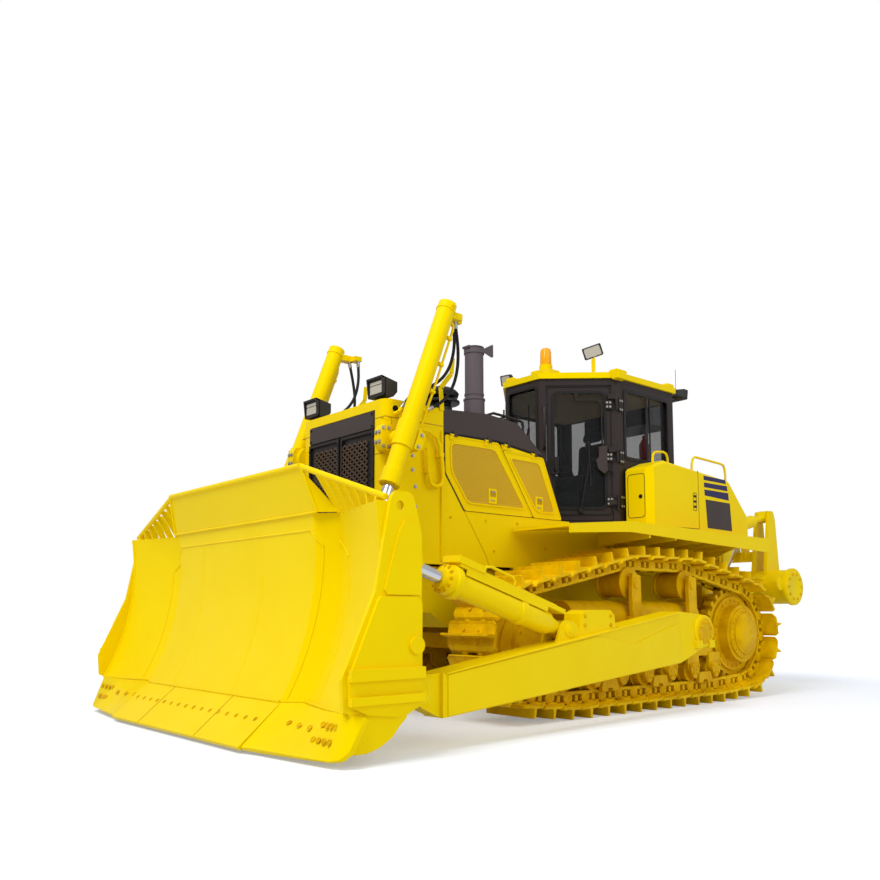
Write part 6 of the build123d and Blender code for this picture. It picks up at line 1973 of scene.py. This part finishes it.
@dataclass
class OperatorSeat:
    """Upholstered seat: cushion, back and head pad blown up from their cut panels, on a moulded base."""

    voxel: float = 0.006
    swell: float = 0.014            # most that a point of a pad may move
    frames: int = 20
    pressure: float = 4.0
    rounding: float = 0.028
    channel_wide: float = 0.008
    channel_deep: float = 0.007

    def pad(self, name: str, outline: Outline, view: View, low: float, high: float,
            channels: Sequence[float]) -> bpy.types.Object:
        """One padded piece.

        Args:
            name: the piece's name.
            outline: its outline.
            view: plane of the outline.
            low: one face along the remaining axis.
            high: the other face.
            channels: distances from the middle at which a channel is sewn.

        Returns:
            The pad.
        """
        block = placed(name + "_cut", Shape().prism(rounded(outline, 0.07), view, low, high).mesh(name))
        rounding = block.modifiers.new("rounding", "BEVEL")
        rounding.width, rounding.segments = self.rounding, 3
        skin = block.modifiers.new("skin", "REMESH")
        skin.mode, skin.voxel_size = "VOXEL", self.voxel
        scene = bpy.context.scene
        mesh = evaluated(block)
        bpy.data.objects.remove(block)
        made = placed(name, mesh)
        cloth = made.modifiers.new("cloth", "CLOTH")
        cloth.settings.use_pressure = True
        cloth.settings.uniform_pressure_force = self.pressure
        cloth.settings.effector_weights.gravity = 0.0
        cloth.point_cache.frame_start, cloth.point_cache.frame_end = 1, self.frames
        for moment in range(1, self.frames + 1):
            scene.frame_set(moment)
        blown = evaluated(made)
        made.modifiers.remove(cloth)
        for rest, moved in zip(mesh.vertices, blown.vertices):
            shift = moved.co - rest.co
            rest.co = rest.co + shift * min(1.0, self.swell / max(shift.length, 1e-6))
        bpy.data.meshes.remove(blown)
        scene.frame_set(1)
        middle = (low + high) / 2
        axis = 2 if view is View.TOP else 0
        for vert in mesh.vertices:
            groove = sum(math.exp(-((vert.co.y - y) / self.channel_wide) ** 2) for y in channels)
            inwards = -1 if vert.co[axis] > middle else 1
            vert.co[axis] += inwards * self.channel_deep * groove
        mesh.materials.clear()
        mesh.materials.append(VINYL.material())
        mesh.shade_smooth()
        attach(made, "root")
        log.info("%s rides on root", name)
        return made

    def build(self) -> None:
        """Pads and base; they stand for the plain seat."""
        rear, front, half = REAR + 0.95, REAR + 1.425, 0.235
        cushion = self.pad("seat_cushion", [(rear, -half), (front, -half), (front, half), (rear, half)],
                           View.TOP, 2.275, 2.365, (-0.13, 0.13))
        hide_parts("operator_seat")
        self.pad("seat_back", [(-0.215, 2.395), (0.215, 2.395), (0.190, 2.800), (-0.190, 2.800)], View.FRONT,
                 REAR + 0.870, REAR + 0.960, (-0.11, 0.11))
        self.pad("head_pad", [(-0.13, 2.815), (0.13, 2.815), (0.12, 2.930), (-0.12, 2.930)], View.FRONT,
                 REAR + 0.885, REAR + 0.950, ())
        base = Shape()
        base.box((0.900, -0.230, 2.200), (1.400, 0.230, 2.262))
        for k, size in enumerate((0.205, 0.195, 0.205, 0.195)):
            base.box((1.150 - size, -size, 1.980 + k * 0.055), (1.150 + size, size, 2.030 + k * 0.055))
        for side in (LEFT, RIGHT):
            base.box((0.960, side * 0.262, 2.500), (1.260, side * 0.322, 2.555))
            base.beam(at(0.930, side * 0.270, 2.380), at(0.980, side * 0.290, 2.510), 0.030, 0.060)
        base.piece("seat_base", PLASTIC, "root", 6.0)


@dataclass
class Ripper:
    """Drum caps, pin caps and bolts of the ripper's beam."""

    drum: tuple[float, float] = (-1.500, 1.210)
    drum_half: float = 1.080

    def build(self) -> None:
        """Every fitting of the ripper."""
        for side, hand in SIDES:
            out = outward(side)
            beam = Shape()
            end = at(self.drum[0], side * self.drum_half, self.drum[1])
            beam.lathe(end - out * 0.050, out,
                       [(0.0, 0.203), (0.004, 0.222), (0.040, 0.222), (0.044, 0.203)], 40)
            beam.lathe(end - out * 0.002, out,
                       [(0.0, 0.190), (0.006, 0.186), (0.008, 0.120), (0.004, 0.112), (0.004, 0.0)], 36)
            beam.lathe(at(-1.240, side * 1.02, 1.240), out,
                       [(0.0, 0.080), (0.020, 0.078), (0.024, 0.040)], 24)
            beam.piece(f"ripper_drum_caps_{hand}", YELLOW, "ripper_beam", 1.5)
            bolted(f"ripper_drum_bolts_{hand}", bolt_head(0.014, 0.012),
                   ring_of(end + out * 0.004, out, 0.152, 10), YELLOW_CAST, "ripper_beam")


@dataclass
class Breathing:
    """Clamps and rings of the exhaust and the air cleaner's bowl."""

    stack: float = 2.740
    cleaner: float = 3.180

    def build(self) -> None:
        """Both stacks."""
        grey = Shape()
        grey.lathe(at(self.stack, 0, 3.000), UP,
                   [(0.0, 0.106), (0.004, 0.110), (0.020, 0.110), (0.026, 0.098)], 32)
        grey.lathe(at(self.stack, 0, 3.505), UP,
                   [(0.0, 0.095), (0.004, 0.101), (0.016, 0.101), (0.020, 0.095)], 32)
        grey.lathe(at(self.stack, 0, 2.690), UP, [(0.0, 0.128), (0.010, 0.128), (0.014, 0.106)], 32)
        grey.piece("exhaust_rings", HEAT_GREY, "root", 1.0)
        black = Shape()
        black.lathe(at(self.cleaner, 0, 2.900), UP,
                    [(0.0, 0.178), (0.006, 0.183), (0.024, 0.183), (0.030, 0.176)], 32)
        black.lathe(at(self.cleaner, 0, 3.060), UP,
                    [(0.0, 0.030), (0.006, 0.026), (0.020, 0.024), (0.024, 0.010)], 14)
        black.piece("air_cleaner_bands", BLACK, "root", 1.0)


# =====================================================================================
# Stage
# =====================================================================================
@dataclass
class Stage:
    """Floor, light and camera of the studio."""

    floor_half: float = 60.0
    camera_at: Point = (6.629, 6.225, 0.902)
    camera_yaw: float = 229.45      # degrees from +X, counter-clockwise from above
    camera_pitch: float = 5.44      # degrees upwards
    lens_mm: float = 35.395
    shift_up: float = 0.1023
    boxes: tuple[tuple[str, Point, Point, float, float], ...] = (
        # name, place, aim, width and watts
        ("key_box", (10.0, 3.0, 12.0), (1.0, 0.0, 1.0), 7.0, 1230.0),
        ("side_box", (-1.0, 13.0, 7.0), (0.0, 0.0, 1.0), 8.0, 370.0),
    )

    def white_paper(self) -> bpy.types.Material:
        """White floor that stays white to the camera and still takes the machine's shadow."""
        made = bpy.data.materials.new("white_floor")
        made.use_nodes = True
        tree = made.node_tree
        shader = tree.nodes["Principled BSDF"]
        shader.inputs["Base Color"].default_value = srgb("#E2E8F4")
        shader.inputs["Roughness"].default_value = 0.9
        shader.inputs["Specular IOR Level"].default_value = 0.1
        rays = node(tree, "ShaderNodeLightPath")
        place = node(tree, "ShaderNodeTexCoord").outputs["Object"]
        away = node(tree, "ShaderNodeVectorMath", {"operation": "LENGTH"}, {0: place})
        lift_up = node(tree, "ShaderNodeMapRange", {"interpolation_type": "SMOOTHSTEP"}, {
            "Value": away.outputs["Value"], "From Min": 4.5, "From Max": 10.0, "To Min": 0.28, "To Max": 1.0})
        seen = node(tree, "ShaderNodeMath", {"operation": "MULTIPLY"}, {
            0: rays.outputs["Is Camera Ray"], 1: lift_up.outputs["Result"]})
        glow = node(tree, "ShaderNodeEmission", sockets={"Color": (1, 1, 1, 1), "Strength": seen.outputs[0]})
        both = node(tree, "ShaderNodeAddShader", sockets={0: shader.outputs[0], 1: glow.outputs[0]})
        tree.links.new(both.outputs[0], tree.nodes["Material Output"].inputs["Surface"])
        return made

    def floor(self) -> None:
        """Wide flat floor."""
        mesh = bpy.data.meshes.new("studio_floor")
        h = self.floor_half
        mesh.from_pydata([(-h, -h, 0), (h, -h, 0), (h, h, 0), (-h, h, 0)], [], [(0, 1, 2, 3)])
        plane = bpy.data.objects.new("studio_floor", mesh)
        mesh.materials.append(self.white_paper())
        bpy.context.scene.collection.objects.link(plane)

    def sky(self) -> None:
        """Even white surroundings, full white to the camera and through glass."""
        world = bpy.data.worlds.new("studio")
        bpy.context.scene.world = world
        world.use_nodes = True
        tree = world.node_tree
        tree.nodes.clear()
        rays = node(tree, "ShaderNodeLightPath")
        direct = node(tree, "ShaderNodeMath", {"operation": "MAXIMUM"}, {
            0: rays.outputs["Is Camera Ray"], 1: rays.outputs["Is Transmission Ray"]})
        soft = node(tree, "ShaderNodeBackground", sockets={"Color": (1, 1, 1, 1), "Strength": 0.56})
        white = node(tree, "ShaderNodeBackground", sockets={"Color": (1, 1, 1, 1), "Strength": 1.0})
        both = node(tree, "ShaderNodeMixShader", sockets={
            0: direct.outputs[0], 1: soft.outputs[0], 2: white.outputs[0]})
        node(tree, "ShaderNodeOutputWorld", sockets={"Surface": both.outputs[0]})

    def lamp(self, name: str, place: Point, aim: Point, size: float, power: float) -> None:
        """One square soft box.

        Args:
            name: the lamp's name.
            place: where it stands.
            aim: what it points at.
            size: its width.
            power: watts.
        """
        data = bpy.data.lights.new(name, "AREA")
        data.shape = "SQUARE"
        data.size = size
        data.energy = power
        lamp = bpy.data.objects.new(name, data)
        lamp.location = place
        lamp.rotation_euler = (Vector(aim) - Vector(place)).to_track_quat("-Z", "Y").to_euler()
        bpy.context.scene.collection.objects.link(lamp)

    def camera(self) -> None:
        """Camera in front of the machine's left corner, low down."""
        data = bpy.data.cameras.new("camera")
        data.lens = self.lens_mm
        data.shift_y = self.shift_up
        data.clip_end = 300.0
        camera = bpy.data.objects.new("camera", data)
        yaw, pitch = math.radians(self.camera_yaw), math.radians(self.camera_pitch)
        look = Vector((math.cos(yaw) * math.cos(pitch), math.sin(yaw) * math.cos(pitch), math.sin(pitch)))
        camera.location = self.camera_at
        camera.rotation_euler = look.to_track_quat("-Z", "Y").to_euler()
        bpy.context.scene.collection.objects.link(camera)
        bpy.context.scene.camera = camera

    def build(self) -> None:
        """Set the whole stage."""
        bpy.context.scene.view_settings.view_transform = "Standard"
        self.floor()
        self.sky()
        for box in self.boxes:
            self.lamp(*box)
        self.camera()


def dress_frame() -> None:
    """Give every CAD node its finish."""
    for name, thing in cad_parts.items():
        finish = finish_for(name)
        thing.data.materials.clear()
        thing.data.materials.append(finish.material())
    log.info("frame dressed: %d nodes", len(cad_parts))


def main() -> None:
    """Build the stage and every fitting."""
    logging.basicConfig(level=logging.INFO, format="%(name)s: %(message)s")
    Stage().build()
    LiftHoses().build()
    dress_frame()
    for side in (LEFT, RIGHT):
        CrawlerChain(side).build()
    for fitting in (WheelFittings(), SigmaBlade(), PushArms(), LiftCylinders(), RadiatorGuard(),
                    EngineDoors(), Cab(), WorkLamps(), SideTanks(), TiltCylinder(), Ripper(), Breathing(),
                    OperatorSeat()):
        fitting.build()


if __name__ == "__main__":
    main()
